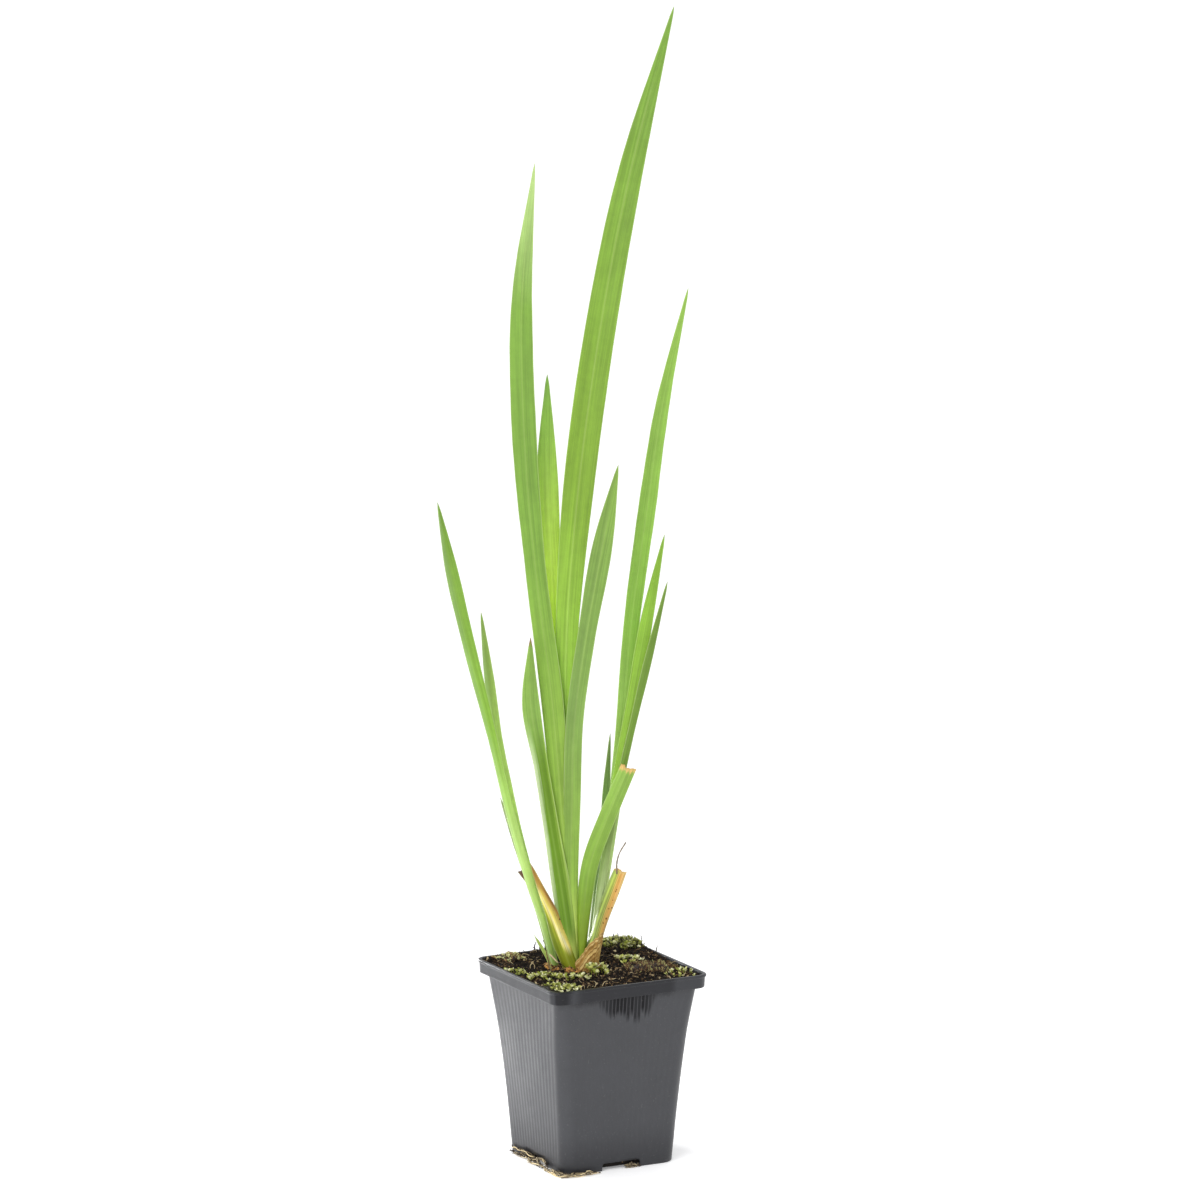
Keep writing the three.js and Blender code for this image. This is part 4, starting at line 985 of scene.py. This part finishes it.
# Height of the soil: level, plus a rise to the back of the fan, less a dip round it, plus ripples.
def soilHeight(x, y):
    s = soil
    back = y * math.cos(fanTurn) - x * math.sin(fanTurn)
    wave = np.sin(0.31 * x + 0.7) * np.cos(0.27 * y) + 0.6 * np.sin(0.55 * y - 0.41 * x)
    return (s["level"] + s["rise"] * smoothStep(back, s["riseFrom"], s["riseTo"])
            - s["dip"] * smoothStep(1 - np.hypot(x, y) / s["dipReach"]) + s["ripple"] * wave)


# Half the width of the pot's inside at a height, drawn in by the gap.
def insideHalf(z):
    p = pot
    mouth = p["rim"] / 2 - p["lipIn"]
    lip = p["height"] - p["lipHeight"]
    return np.where(z > lip + 1, mouth, wallSide(np.minimum(z, lip)) / 2) - p["wall"] - soil["gap"]


mouthHalf = float(insideHalf(soil["level"]))


# The soil: squares from the middle out to the walls, lifted to the soil's height and roughened by
# noise, then down the walls and in under itself.
def soilShape():
    s = soil
    shares = np.linspace(0.02, 1, 46)
    top = squareRings(2 * mouthHalf * shares, 5 * shares, 0 * shares)
    rough = s["lumps"] * (ripples(top, s["lumpSize"], 11) * 0.6 + 0.5 * ripples(top, s["fineLump"], 12))
    top[..., 2] = soilHeight(top[..., 0], top[..., 1]) + rough
    levels = np.array([95.6, 94.2, 92.5, 80, 60, 40, 20, 4, s["bottom"]])
    walls = squareRings(2 * insideHalf(levels), 0 * levels + s["corner"], levels)
    under = squareRings([20.0, 2.0], [4, 0.5], [s["bottom"], s["bottom"]])
    rings = np.concatenate([top, walls, under])[::-1]
    return ringsWithPoles(rings, [0, 0, s["bottom"]], [0, 0, float(soilHeight(0, 0))])


# Crumbs and fibres of peat: lumps of several sizes strewn over the soil, thin bits lying on it, pale
# root hairs arched over it, and the strands.
def crumbShapes():
    rng = np.random.default_rng(21)
    s, half = soil, mouthHalf - 0.6
    spots = rng.uniform(-half, half, (s["crumbs"], 2))
    small, large = s["crumbSize"]
    sizes = small + (large - small) * rng.uniform(0, 1, s["crumbs"]) ** 2.2
    z = soilHeight(spots[:, 0], spots[:, 1]) + 0.25 * s["lumps"] + 0.25 * sizes
    places = np.column_stack([spots, z])
    pale = 0.12 * ripples(places, 16, 22)
    tint = np.clip(rng.uniform(0, 1, s["crumbs"]) ** 1.9 + pale - 0.05, 0, 1)
    turns = axesFor(*rng.uniform(0, 2 * math.pi, (3, s["crumbs"])))
    parts, tints = [], []
    kinds = 6
    for k in range(kinds):
        mine = np.arange(s["crumbs"]) % kinds == k
        parts.append(copies(crumbShape(k), places[mine], turns[mine], sizes[mine]))
        tints.append(np.repeat(tint[mine], 12))
    spots = rng.uniform(-half, half, (s["bits"], 2)) * 0.97
    places = np.column_stack([spots, soilHeight(spots[:, 0], spots[:, 1]) + 0.5])
    turns = axesFor(rng.uniform(0, 6.3, s["bits"]), rng.normal(0.1, 0.25, s["bits"]),
                    rng.uniform(0, 6.3, s["bits"]))
    bit = leafletShape(6, 0.12, 0.05, 0.03)
    parts.append(copies(bit, places, turns, rng.uniform(*s["bitLength"], s["bits"])))
    tints.append(np.repeat(rng.uniform(0.45, 1, s["bits"]), len(bit[0])))
    for _ in range(s["curls"]):
        x, y = rng.uniform(-half, half, 2) * 0.96
        heading, reach, tall = rng.uniform(0, 6.3), rng.uniform(*s["curlReach"]), rng.uniform(*s["curlHeight"])
        ahead = np.array([math.cos(heading), math.sin(heading), 0]) * reach
        foot = np.array([x, y, float(soilHeight(x, y)) - 0.2])
        stops = [foot - ahead, foot - 0.5 * ahead + [0, 0, tall], foot + 0.6 * ahead + [0, 0, tall * 1.1],
                 foot + ahead]
        parts.append(tube(smoothPath(stops, 9), np.full(9, rng.uniform(*s["curlRadius"])), 5))
        tints.append(np.full(len(parts[-1][0]), rng.uniform(0.74, 1)))
    for route, radius, tone in strands:
        count = 5 * len(route)
        path = smoothPath(fromFan(np.array(route, float)), count)
        parts.append(tube(path, radius * (1 - 0.6 * np.linspace(0, 1, count) ** 2), 6))
        tints.append(np.full(len(parts[-1][0]), tone))
    return joined(parts), {"tint": np.concatenate(tints)}


def peatMaterial():
    material, tree, shader = newMaterial("peat")
    where = objectPlace(tree)
    tone = colourRamp(tree, attribute(tree, "tint", "Fac"), peatTones)
    body = useGroup(tree, mottle, Colour=tone, Vector=where, Scale=420.0, Strength=0.5)["Colour"]
    flecks = useGroup(tree, specks, Vector=where, Scale=800.0, Amount=0.06, Size=0.35)["Mask"]
    body = mixColours(tree, times(tree, flecks, 0.6), body, colour(142, 116, 84))
    tree.links.new(body, shader.inputs["Base Color"])
    shader.inputs["Roughness"].default_value = 0.92
    shader.inputs["Specular IOR Level"].default_value = 0.2
    tree.links.new(bump(tree, noise(tree, where, 1500.0, 4.0, 0.7), 0.6, 0.0006), shader.inputs["Normal"])
    return material


peat = peatMaterial()
makePiece("soil_block", soilShape(), peat, ["soil"])
crumbs, crumbValues = crumbShapes()
makePiece("soil_crumbs", crumbs, peat, (), crumbValues)
print("soil made")


# ---- moss and seedlings ----

# centre on the soil and radii are in the fan's frame; shoots is how many stand on it, tall their
# height, tones and even their colours and how pale, and stalks are taller stems, as x, y and top.
# rosettes is how many seedlings grow there, leaf their leaves' length, upright how steep and pale how
# pale they are.
greenTones = [(0.0, (30, 24, 12)), (0.3, (84, 82, 30)), (0.55, (156, 166, 62)), (0.8, (220, 222, 126)),
              (1.0, (250, 250, 206))]
brownTones = [(0.0, (28, 17, 8)), (0.3, (72, 49, 31)), (0.62, (138, 99, 68)), (0.76, (172, 138, 94)),
              (0.88, (196, 190, 120)), (1.0, (232, 234, 170))]
cushions = {
    "moss_mound": dict(centre=[17, 46, 100.4], radii=[17, 11, 3.8], shoots=620, tall=(1.0, 3.2),
                       tones="green",
                       even=0.46, rosettes=84, leaf=(1.3, 2.5),
                       stalks=[(12, 44, 109), (13.6, 44.4, 106.6), (24, 42, 106.4), (33, 27, 105)]),
    "moss_patch": dict(centre=[30, 0, 98.8], radii=[15, 12, 2.6], shoots=620, tall=(0.8, 2.2), tones="brown",
                       even=0.56, rosettes=6, leaf=(1.0, 1.6)),
    "moss_corner": dict(centre=[-18, -47, 99], radii=[12, 9, 2.6], shoots=240, tall=(0.8, 1.8), tones="green",
                        even=0.4, rosettes=44, leaf=(1.5, 2.6)),
    "moss_left": dict(centre=[-43, 20, 99.2], radii=[8, 9, 2.4], shoots=190, tall=(0.8, 1.8), tones="brown",
                      even=0.45, rosettes=28, leaf=(1.3, 2.3), pale=(0.74, 1.0)),
}
seedlings = {
    "seedlings_front": dict(centre=[-24, -22, 98.6], radii=[9.5, 7.5, 3], rosettes=25, leaf=(1.7, 3)),
    "seedlings_middle": dict(centre=[-7, -24, 98.6], radii=[6, 6, 3], rosettes=14, leaf=(1.7, 3)),
    "seedlings_bright": dict(centre=[2.5, -10, 98.4], radii=[6, 6, 5.6], rosettes=20, leaf=(2.2, 3.6),
                             upright=0.7, pale=(0.55, 0.98)),
    "seedlings_right": dict(centre=[18, 16, 98.6], radii=[8, 6, 3], rosettes=19, leaf=(1.6, 2.7)),
    "seedlings_rim": dict(centre=[46, -14, 99.2], radii=[8, 7, 2.4], rosettes=16, leaf=(1.4, 2.3)),
    "seedlings_left": dict(centre=[-40, -13, 99], radii=[7, 7, 2.4], rosettes=16, leaf=(1.4, 2.3)),
}
mossLook = dict(leaflets=11, lean=0.34, lump=7, stalkFoot=98.5, stalkBend=1.0, stalkRadius=0.42,
                stalkTint=0.08)
rosetteLook = dict(leaves=5, upright=0.3, pale=(0.5, 1.0), shift=0.5, stem=0.15, stemTint=0.5)


# Spots over a cushion, evenly spread by the golden turn, in the pot's frame and inside the rim, and
# how far the cushion stands over the soil at each.
def cushionSpots(centre, radii, count, rng):
    share = np.sqrt(rng.permutation((np.arange(count) + 0.5) / count))
    angle = goldenTurn * np.arange(count) + rng.uniform(-0.9, 0.9, count)
    flat = np.stack([share * np.cos(angle), share * np.sin(angle)], -1)
    spots = fromFan(np.column_stack([flat * radii[:2] + centre[:2], np.zeros(count)]))
    half, aside = mouthHalf - 0.8, np.abs(spots[:, :2])
    inside = (aside.max(1) < half) & (aside.sum(1) < 2 * half - 3)
    lift = radii[2] * np.sqrt(np.clip(1 - share ** 2, 0, 1)) + centre[2]
    ground = soilHeight(spots[:, 0], spots[:, 1])
    spots[:, 2] = ground
    return spots[inside], np.maximum(lift - ground, 0.4)[inside]


# A cushion of moss: shoots stand on the soil, each of leaflets in a spiral round a leaning stem, paler in
# some patches by noise and darker towards each shoot's foot, painted shade among the shoots; stalks stand on
# it, and seedlings grow among them.
def mossShape(cushion, seed):
    rng = np.random.default_rng(seed)
    m = mossLook
    spots, lift = cushionSpots(cushion["centre"], cushion["radii"], cushion["shoots"], rng)
    n, leaves = len(spots), m["leaflets"]
    lean = np.column_stack([rng.normal(0, m["lean"], (n, 2)), np.ones(n)])
    lean /= np.linalg.norm(lean, axis=1, keepdims=True)
    tall = rng.uniform(*cushion["tall"], n)
    lumpy = ripples(spots, m["lump"], seed + 3)
    base = spots + [0, 0, 1] * np.maximum(lift - tall + 0.5 * lumpy, -0.4)[:, None]
    k = np.arange(leaves)
    up = (k + 0.6) / leaves
    places = base[:, None] + lean[:, None] * (tall[:, None] * up)[..., None]
    heading = goldenTurn * k[None] + rng.uniform(0, 6.3, n)[:, None]
    elevation = 0.35 + 0.9 * up[None] ** 2 + rng.normal(0, 0.15, (n, leaves))
    sizes = (tall[:, None] * (0.46 - 0.2 * up[None])) * rng.uniform(0.8, 1.2, (n, leaves))
    leaflet = leafletShape(4, 0.42, 0.3, 0.07)
    axes = axesFor(heading.ravel(), elevation.ravel(), 0 * heading.ravel())
    shoots = copies(leaflet, places.reshape(-1, 3), axes, sizes.ravel())
    pale = cushion["even"] + 0.2 * lumpy + rng.normal(0, 0.27, n)
    # Leaflets low on a shoot are darker: painted shade among the shoots.
    tint = np.clip(pale[:, None] * (0.45 + 0.75 * up[None]), 0, 0.92)
    bed = cushionBed(cushion, seed)
    parts, tints = [bed, shoots], [np.zeros(len(bed[0])), np.repeat(tint.ravel(), len(leaflet[0]))]
    for x, y, top in cushion.get("stalks", []):
        foot = fromFan(np.array([x, y, m["stalkFoot"]]))
        rise = top - m["stalkFoot"]
        bend = rng.normal(0, m["stalkBend"], (2, 3)) * [1, 1, 0.2]
        path = smoothPath([foot, foot + bend[0] + [0, 0, 0.55 * rise], foot + bend[1] + [0, 0, rise]], 12)
        radii = m["stalkRadius"] * (1 - 0.6 * np.linspace(0, 1, 12)) + 0.12 * rng.uniform(-1, 1, 12)
        parts.append(tube(path, radii, 6))
        tints.append(np.full(len(parts[-1][0]), m["stalkTint"]))
    grown, grownTints = rosettes(cushion, seed + 7)
    return joined(parts + grown), {"tint": np.concatenate(tints + grownTints)}


# The bed under a cushion: a disc of rings that follows the soil, domed to the cushion's height.
def cushionBed(cushion, seed):
    centre, radii = np.array(cushion["centre"], float), np.array(cushion["radii"], float)
    rows, columns = 9, 36
    share = np.linspace(0.97, 0.08, rows)[:, None]
    angle = np.arange(columns)[None] * 2 * math.pi / columns
    edge = 0.86 + 0.08 * np.sin(3 * angle + seed) + 0.05 * np.sin(5 * angle + 2 * seed)
    x, y = share * edge * np.cos(angle) * radii[0], share * edge * np.sin(angle) * radii[1]
    spots = fromFan(np.stack([x + centre[0], y + centre[1], 0 * x], -1))
    half = mouthHalf - 0.4
    spots[..., :2] = np.clip(spots[..., :2], -half, half)
    ground = soilHeight(spots[..., 0], spots[..., 1])
    crown = np.maximum(centre[2] + radii[2] * np.sqrt(1 - share ** 2) - 0.9 - ground, 0.2)
    spots[..., 2] = ground + crown * (0.92 + 0.1 * ripples(spots, 2.5, seed)) - 0.9 * (share > 0.95)
    low = spots[0].mean(0) - [0, 0, 1.5]
    return ringsWithPoles(spots, low, spots[-1].mean(0) + [0, 0, 0.05])


# Seedlings: rosettes of round leaves, paler at the middle and up the rosette, painted light on the upper
# leaves and painted shade on the lower ones, each on a stalk from the soil.
def rosettes(clump, seed):
    rng = np.random.default_rng(seed)
    r = rosetteLook
    spots, lift = cushionSpots(clump["centre"], clump["radii"], clump["rosettes"], rng)
    n, leaves = len(spots), r["leaves"]
    k = np.arange(leaves)
    size = rng.uniform(*clump["leaf"], n)
    high = np.clip(lift - 0.4 * size, 0.3, None) * rng.uniform(0.6, 1.0, n)
    crown = spots + np.column_stack([rng.normal(0, r["shift"], (n, 2)), high])
    heading = goldenTurn * k[None] + rng.uniform(0, 6.3, n)[:, None] + rng.normal(0, 0.25, (n, leaves))
    elevation = clump.get("upright", r["upright"]) + 0.12 * k[None] + rng.normal(0, 0.3, (n, leaves))
    sizes = size[:, None] * (1.1 - 0.12 * k[None]) * rng.uniform(0.7, 1.15, (n, leaves))
    places = np.repeat(crown[:, None], leaves, 1) + [0, 0, 0.12] * k[None, :, None]
    axes = axesFor(heading.ravel(), elevation.ravel(), rng.normal(0, 0.3, n * leaves))
    leaf = leafletShape(9, 0.8, 0.18, 0.07)
    parts = [copies(leaf, places.reshape(-1, 3), axes, sizes.ravel())]
    # Each leaf higher in the rosette is paler: painted light above, painted shade below.
    pale = rng.uniform(*clump.get("pale", r["pale"]), n)[:, None] + 0.035 * k[None]
    pale = pale + rng.normal(0, 0.13, (n, leaves))
    tints = [np.repeat(np.clip(pale, 0, 1).ravel(), len(leaf[0]))]
    for i in range(n):
        foot = spots[i] - [0, 0, 0.6]
        path = smoothPath([foot, (foot + crown[i]) / 2 + [0.1, 0, 0], crown[i]], 5)
        parts.append(tube(path, np.full(5, r["stem"]), 5))
        tints.append(np.full(len(parts[-1][0]), r["stemTint"]))
    return parts, tints


# Small leaves: their tint's colour, mottled, with a little light coming through.
def tuftMaterial(name, tones, glow):
    material, tree, shader = newMaterial(name)
    where = objectPlace(tree)
    tone = colourRamp(tree, attribute(tree, "tint", "Fac"), tones)
    body = useGroup(tree, mottle, Colour=tone, Vector=where, Scale=260.0, Strength=0.25)["Colour"]
    tree.links.new(body, shader.inputs["Base Color"])
    shader.inputs["Roughness"].default_value = 0.6
    shader.inputs["Specular IOR Level"].default_value = 0.3
    tree.links.new(bump(tree, noise(tree, where, 3200.0, 2.0), 0.3, 0.0002), shader.inputs["Normal"])
    shineThrough(tree, shader, glow, body)
    return material


mossSkins = {"green": tuftMaterial("moss_green", greenTones, 0.15),
             "brown": tuftMaterial("moss_brown", brownTones, 0.08)}
seedlingSkin = tuftMaterial("seedling_green", greenTones, 0.25)
for number, (name, cushion) in enumerate(cushions.items()):
    shape, values = mossShape(cushion, 40 + number)
    tones = cushion["tones"]
    makePiece(name + "_tufts", shape, mossSkins[tones], [name], values)
for number, (name, clump) in enumerate(seedlings.items()):
    parts, tints = rosettes(clump, 60 + number)
    makePiece(name + "_leaves", joined(parts), seedlingSkin, [name],
              {"tint": np.concatenate(tints)})
print("moss and seedlings made")


# ---- rhizome, thread and roots ----

# A lobe under each group of leaves, then small ones that show round the foot, in the fan's frame;
# rough and wave are how far noise moves the skin, and its length.
rhizomeLobes = [
    dict(centre=[-7.5, 1, 93.6], radii=[13.5, 8.5, 6.2]),
    dict(centre=[-21, 8, 94], radii=[8, 7.5, 5.8]),
    dict(centre=[1, 7.5, 94], radii=[8, 6.5, 5.6]),
    dict(centre=[-11.4, -6.6, 98.2], radii=[2.7, 2, 2.4], rough=0.3, wave=1.3),
    dict(centre=[-7.6, -7, 97.9], radii=[2.2, 1.7, 2], rough=0.3, wave=1.2),
    dict(centre=[-21.6, -2.4, 98.2], radii=[2.3, 1.8, 2], rough=0.3, wave=1.2),
    dict(centre=[-18.6, -3.6, 97.8], radii=[2, 1.6, 1.9], rough=0.3, wave=1.2),
]
thread = dict(route=[[12.8, 1.2, 148], [12.9, 0.4, 154], [14.3, -1, 159.6], [17.5, -2, 165.3]], radius=0.44,
              steps=40)
# Each tuft's roots part from its stem, in the pot's frame. tone is the tints its hairs take, main its
# roots' own tints, shreds how many lie across each root and spread how far its hairs wander.
roots = {
    "roots_left": dict(stem=[-30.2, 2, 1], tone=(-0.25, 0.15), main=(1.0, 0.2, -0.2, 1.1, -0.2), shreds=3,
                       routes=[
        [[-34, 4, 1.2], [-35.6, 1, 1.2], [-35.8, -5, 0.9], [-35.6, -12, 0.9], [-36, -18, 0.6]],
        [[-34, -1, 1.8], [-34.8, -5, 2.4], [-35.4, -10, 1.6], [-35, -15, 0.9]],
        [[-34, 7, 1.6], [-35, 13, 1.6], [-35.2, 20, 0.9], [-34.4, 26, 0.9]],
        [[-33.2, 6, 2.6], [-34, 12, 3.4], [-34.2, 19, 3], [-33.2, 25, 3.2]],
        [[-31.8, -3, 2.7], [-32.4, -7, 3.1], [-32.8, -10.6, 2.9], [-33.8, -14, 1.7]]]),
    "roots_front": dict(stem=[-36.7, -18, 1], tone=(-0.2, 0.45), main=(0.8, 0.1, -0.1), shreds=16, spread=0.6,
                        routes=[
        [[-36.6, -25, 0.7], [-35.2, -34, 0.8], [-26, -36.4, 0.9], [-14, -35.6, 0.8]],
        [[-35.6, -26, 0.8], [-33.6, -34, 1], [-26, -34.8, 1.3], [-17, -34.6, 0.9]],
        [[-34.4, -22, 1], [-33.6, -28, 1.1], [-31.8, -32.6, 1.2], [-24, -33.6, 1.1]]]),
    "roots_right": dict(stem=[4, -30.2, 1], tone=(-0.25, 0.02), main=(-0.25, 0.15), shreds=0, routes=[
        [[5.5, -31.4, 0.9], [7.5, -32.6, 0.8], [10.4, -33, 0.7]],
        [[4, -31.6, 1.4], [5.4, -32.4, 1.7], [8, -32.2, 1.5]]]),
}
rootLook = dict(radius=0.27, hairs=12, hairRadius=0.14, spread=1.1, grit=64, gritSize=(0.22, 0.6), gritIn=0.6,
                waves=0.6, waveLength=7, shred=0.22, shredLength=(2, 6), steps=44, highest=4.5, offWall=0.4)


# Roots: a tapering tube on each route, finer ones that wander about part of it by noise, short
# shreds that lie across it, and grains of peat among them.
def rootShape(tuft, seed):
    rng = np.random.default_rng(seed)
    r, parts, tints = rootLook, [], []
    steps, wall = r["steps"], pot["foot"] / 2 + r["offWall"]

    def strand(points, radius, sides, tint):
        points[:, 2] = np.clip(points[:, 2], radius + 0.05, r["highest"])
        parts.append(tube(points, radius * (1.1 - 0.6 * np.linspace(0, 1, len(points))), sides))
        tints.append(np.full(len(parts[-1][0]), tint))

    for number, route in enumerate(tuft["routes"]):
        path = smoothPath([tuft["stem"], *route], steps)
        first = seed + 5 * number
        wander = np.stack([ripples(path + 9 * k, r["waveLength"], first + k) for k in range(3)], -1)
        strand(path + r["waves"] * wander, r["radius"], 8, tuft["main"][number])
        at = path[rng.integers(2, steps - 1, r["grit"])]
        at = at * (1 - r["gritIn"] / np.abs(at[:, :2]).max(1, keepdims=True)) + rng.normal(0, 0.45, at.shape)
        grain = rng.uniform(*r["gritSize"], r["grit"])
        at[:, 2] = np.maximum(at[:, 2], 1.4 * grain)  # grains stay above the ground
        parts.append(copies(crumbShape(seed), at, axesFor(*rng.uniform(0, 6.3, (3, r["grit"]))), grain))
        tints.append(np.repeat(rng.uniform(-0.6, 0.0, r["grit"]), 12))
        for hair in range(r["hairs"]):
            start = int(rng.integers(0, 28))
            some = path[start:min(start + int(rng.integers(9, 20)), steps)]
            first = seed + 10 * number + hair
            away = np.stack([ripples(some + 31 * hair + 7 * k, 6, first + k) for k in range(3)], -1)
            some = some + away * [1, 1, 0.7] * tuft.get("spread", r["spread"])
            aside = np.abs(some[:, :2]).max(1, keepdims=True)
            inWall = (aside < wall) & (np.arange(len(some))[:, None] + start > 6)
            some[:, :2] *= np.where(inWall, wall / aside, 1)
            strand(some, r["hairRadius"], 5, rng.choice(tuft["tone"]) + rng.normal(0, 0.12))
        for _ in range(tuft["shreds"]):
            half = 0.5 * rng.uniform(*r["shredLength"])
            k = int(rng.integers(8, steps - 2))
            ahead = path[k + 1] - path[k - 1]
            ahead = ahead / np.linalg.norm(ahead) + rng.normal(0, 0.35, 3) * [1, 1, 0.3]
            middle = path[k] + rng.normal(0, 0.35, 3) * [1, 1, 0.8]
            bend = rng.normal(0, 0.35, 3)
            shred = smoothPath([middle - ahead * half, middle + bend, middle + ahead * half], 7)
            strand(shred, r["shred"], 5, rng.uniform(-0.2, 1.05))
    return joined(parts), {"tint": np.concatenate(tints)}


# Bark, roots and dry skin: from dark to light by the tint and by noise, mottled.
def fibreMaterial(name, dark, light, scale, rough):
    material, tree, shader = newMaterial(name)
    where = objectPlace(tree)
    tint = attribute(tree, "tint", "Fac")
    patch = noise(tree, where, scale, 3.0)
    both = plus(tree, times(tree, tint, 0.8), times(tree, patch, 0.4), clamp=True)
    tone = mixColours(tree, both, colour(*dark), colour(*light))
    body = useGroup(tree, mottle, Colour=tone, Vector=where, Scale=scale * 3, Strength=0.35)["Colour"]
    tree.links.new(body, shader.inputs["Base Color"])
    shader.inputs["Roughness"].default_value = rough
    tree.links.new(bump(tree, noise(tree, where, scale * 8, 4.0), 0.5, 0.0004), shader.inputs["Normal"])
    return material


rootSkin = fibreMaterial("root_skin", (40, 24, 12), (252, 230, 180), 150.0, 0.7)
for number, (name, tuft) in enumerate(roots.items()):
    shape, values = rootShape(tuft, 80 + number)
    makePiece(name + "_fibres", shape, rootSkin, [name], values)
lumps = [lobe(lump["centre"], lump["radii"], 26, 40, lump.get("rough", 0.025), lump.get("wave", 4.5), 90 + k)
         for k, lump in enumerate(rhizomeLobes)]
points, faces = joined(lumps)
makePiece("rhizome_lobes", (fromFan(points), faces),
          fibreMaterial("rhizome_skin", (34, 18, 6), (206, 150, 76), 900.0, 0.85), ["rhizome"],
          {"tint": 0.34 + 0.6 * ripples(points, 1.7, 99)})
path = smoothPath(thread["route"], thread["steps"])
radii = thread["radius"] * (1 - 0.3 * np.linspace(0, 1, thread["steps"])) * (1 + 0.2 * ripples(path, 3, 97))
threadShape = tube(fromFan(path), radii, 8)
makePiece("withered_strand", threadShape, fibreMaterial("dry_skin", (96, 84, 66), (150, 134, 108), 300.0, 0.8),
          ["withered_thread"], {"tint": np.full(len(threadShape[0]), 0.3)})
print("rhizome and roots made")


# ---- floor, light and camera ----

# The floor's colour, glow and half size in metres, the strength of the sky, then each lamp's power in
# watts and its size in metres.
stage = dict(floor=(251, 251, 252), floorGlow=0.22, floorSize=12.0, sky=0.94, key=26.0, keySize=1.2, side=0.7,
             sideSize=0.08, fill=2.5, fillSize=1.4)
# Where the camera stands, in degrees and metres, its lens and sensor, and the point it looks at, in
# millimetres right of the pot's axis and above the floor.
view = dict(azimuth=-27.9, elevation=10.89, distance=4.0, lens=236.1, sensor=36, right=4.25, height=291.0)


# An area light at a place, turned to its target.
def makeLight(name, place, target, size, power):
    light = bpy.data.lights.new(name, "AREA")
    light.energy, light.size = power, size
    lamp = bpy.data.objects.new(name, light)
    lamp.location = place
    lamp.rotation_euler = (Vector(target) - Vector(place)).to_track_quat("-Z", "Y").to_euler()
    bpy.context.scene.collection.objects.link(lamp)
    return lamp


floorMesh = bpy.data.meshes.new("floor")
reach = stage["floorSize"]
corners = [(-reach, -reach, 0), (reach, -reach, 0), (reach, reach, 0), (-reach, reach, 0)]
floorMesh.from_pydata(corners, [], [(0, 1, 2, 3)])
floor = bpy.data.objects.new("floor", floorMesh)
bpy.context.scene.collection.objects.link(floor)
floorSkin, _, floorShader = newMaterial("floor_paper")
floorShader.inputs["Base Color"].default_value = colour(*stage["floor"])
floorShader.inputs["Roughness"].default_value = 0.9
floorShader.inputs["Emission Color"].default_value = (1, 1, 1, 1)
floorShader.inputs["Emission Strength"].default_value = stage["floorGlow"]
floorMesh.materials.append(floorSkin)

world = bpy.data.worlds.new("studio")
bpy.context.scene.world = world
world.use_nodes = True
background = world.node_tree.nodes["Background"]
background.inputs["Color"].default_value = (1, 1, 1, 1)
background.inputs["Strength"].default_value = stage["sky"]

azimuth, elevation = math.radians(view["azimuth"]), math.radians(view["elevation"])
rightWay = Vector((math.cos(azimuth), math.sin(azimuth), 0))
awayWay = Vector((-math.sin(azimuth), math.cos(azimuth), 0))
upWay = Vector((0, 0, 1))
target = rightWay * view["right"] * mm + upWay * view["height"] * mm
camera = bpy.data.objects.new("camera", bpy.data.cameras.new("camera"))
camera.data.lens, camera.data.sensor_width = view["lens"], view["sensor"]
camera.data.clip_start, camera.data.clip_end = 0.1, 60
back, up = view["distance"] * math.cos(elevation), view["distance"] * math.sin(elevation)
camera.location = target - awayWay * back + upWay * up
camera.rotation_euler = (target - camera.location).to_track_quat("-Z", "Y").to_euler()
bpy.context.scene.collection.objects.link(camera)
bpy.context.scene.camera = camera

middle = upWay * 0.25
makeLight("key", middle - rightWay - awayWay * 1.9 + upWay * 0.8, middle, stage["keySize"], stage["key"])
side = makeLight("side", awayWay * 0.19 - rightWay * 0.19 + upWay * 0.11, upWay * 0.06, stage["sideSize"],
                 stage["side"])
side.visible_camera = False
makeLight("fill", middle + rightWay * 1.8 - awayWay * 1.4 + upWay * 0.8, middle, stage["fillSize"],
          stage["fill"])
bpy.context.scene.view_settings.view_transform = "Standard"

print("scene ready")
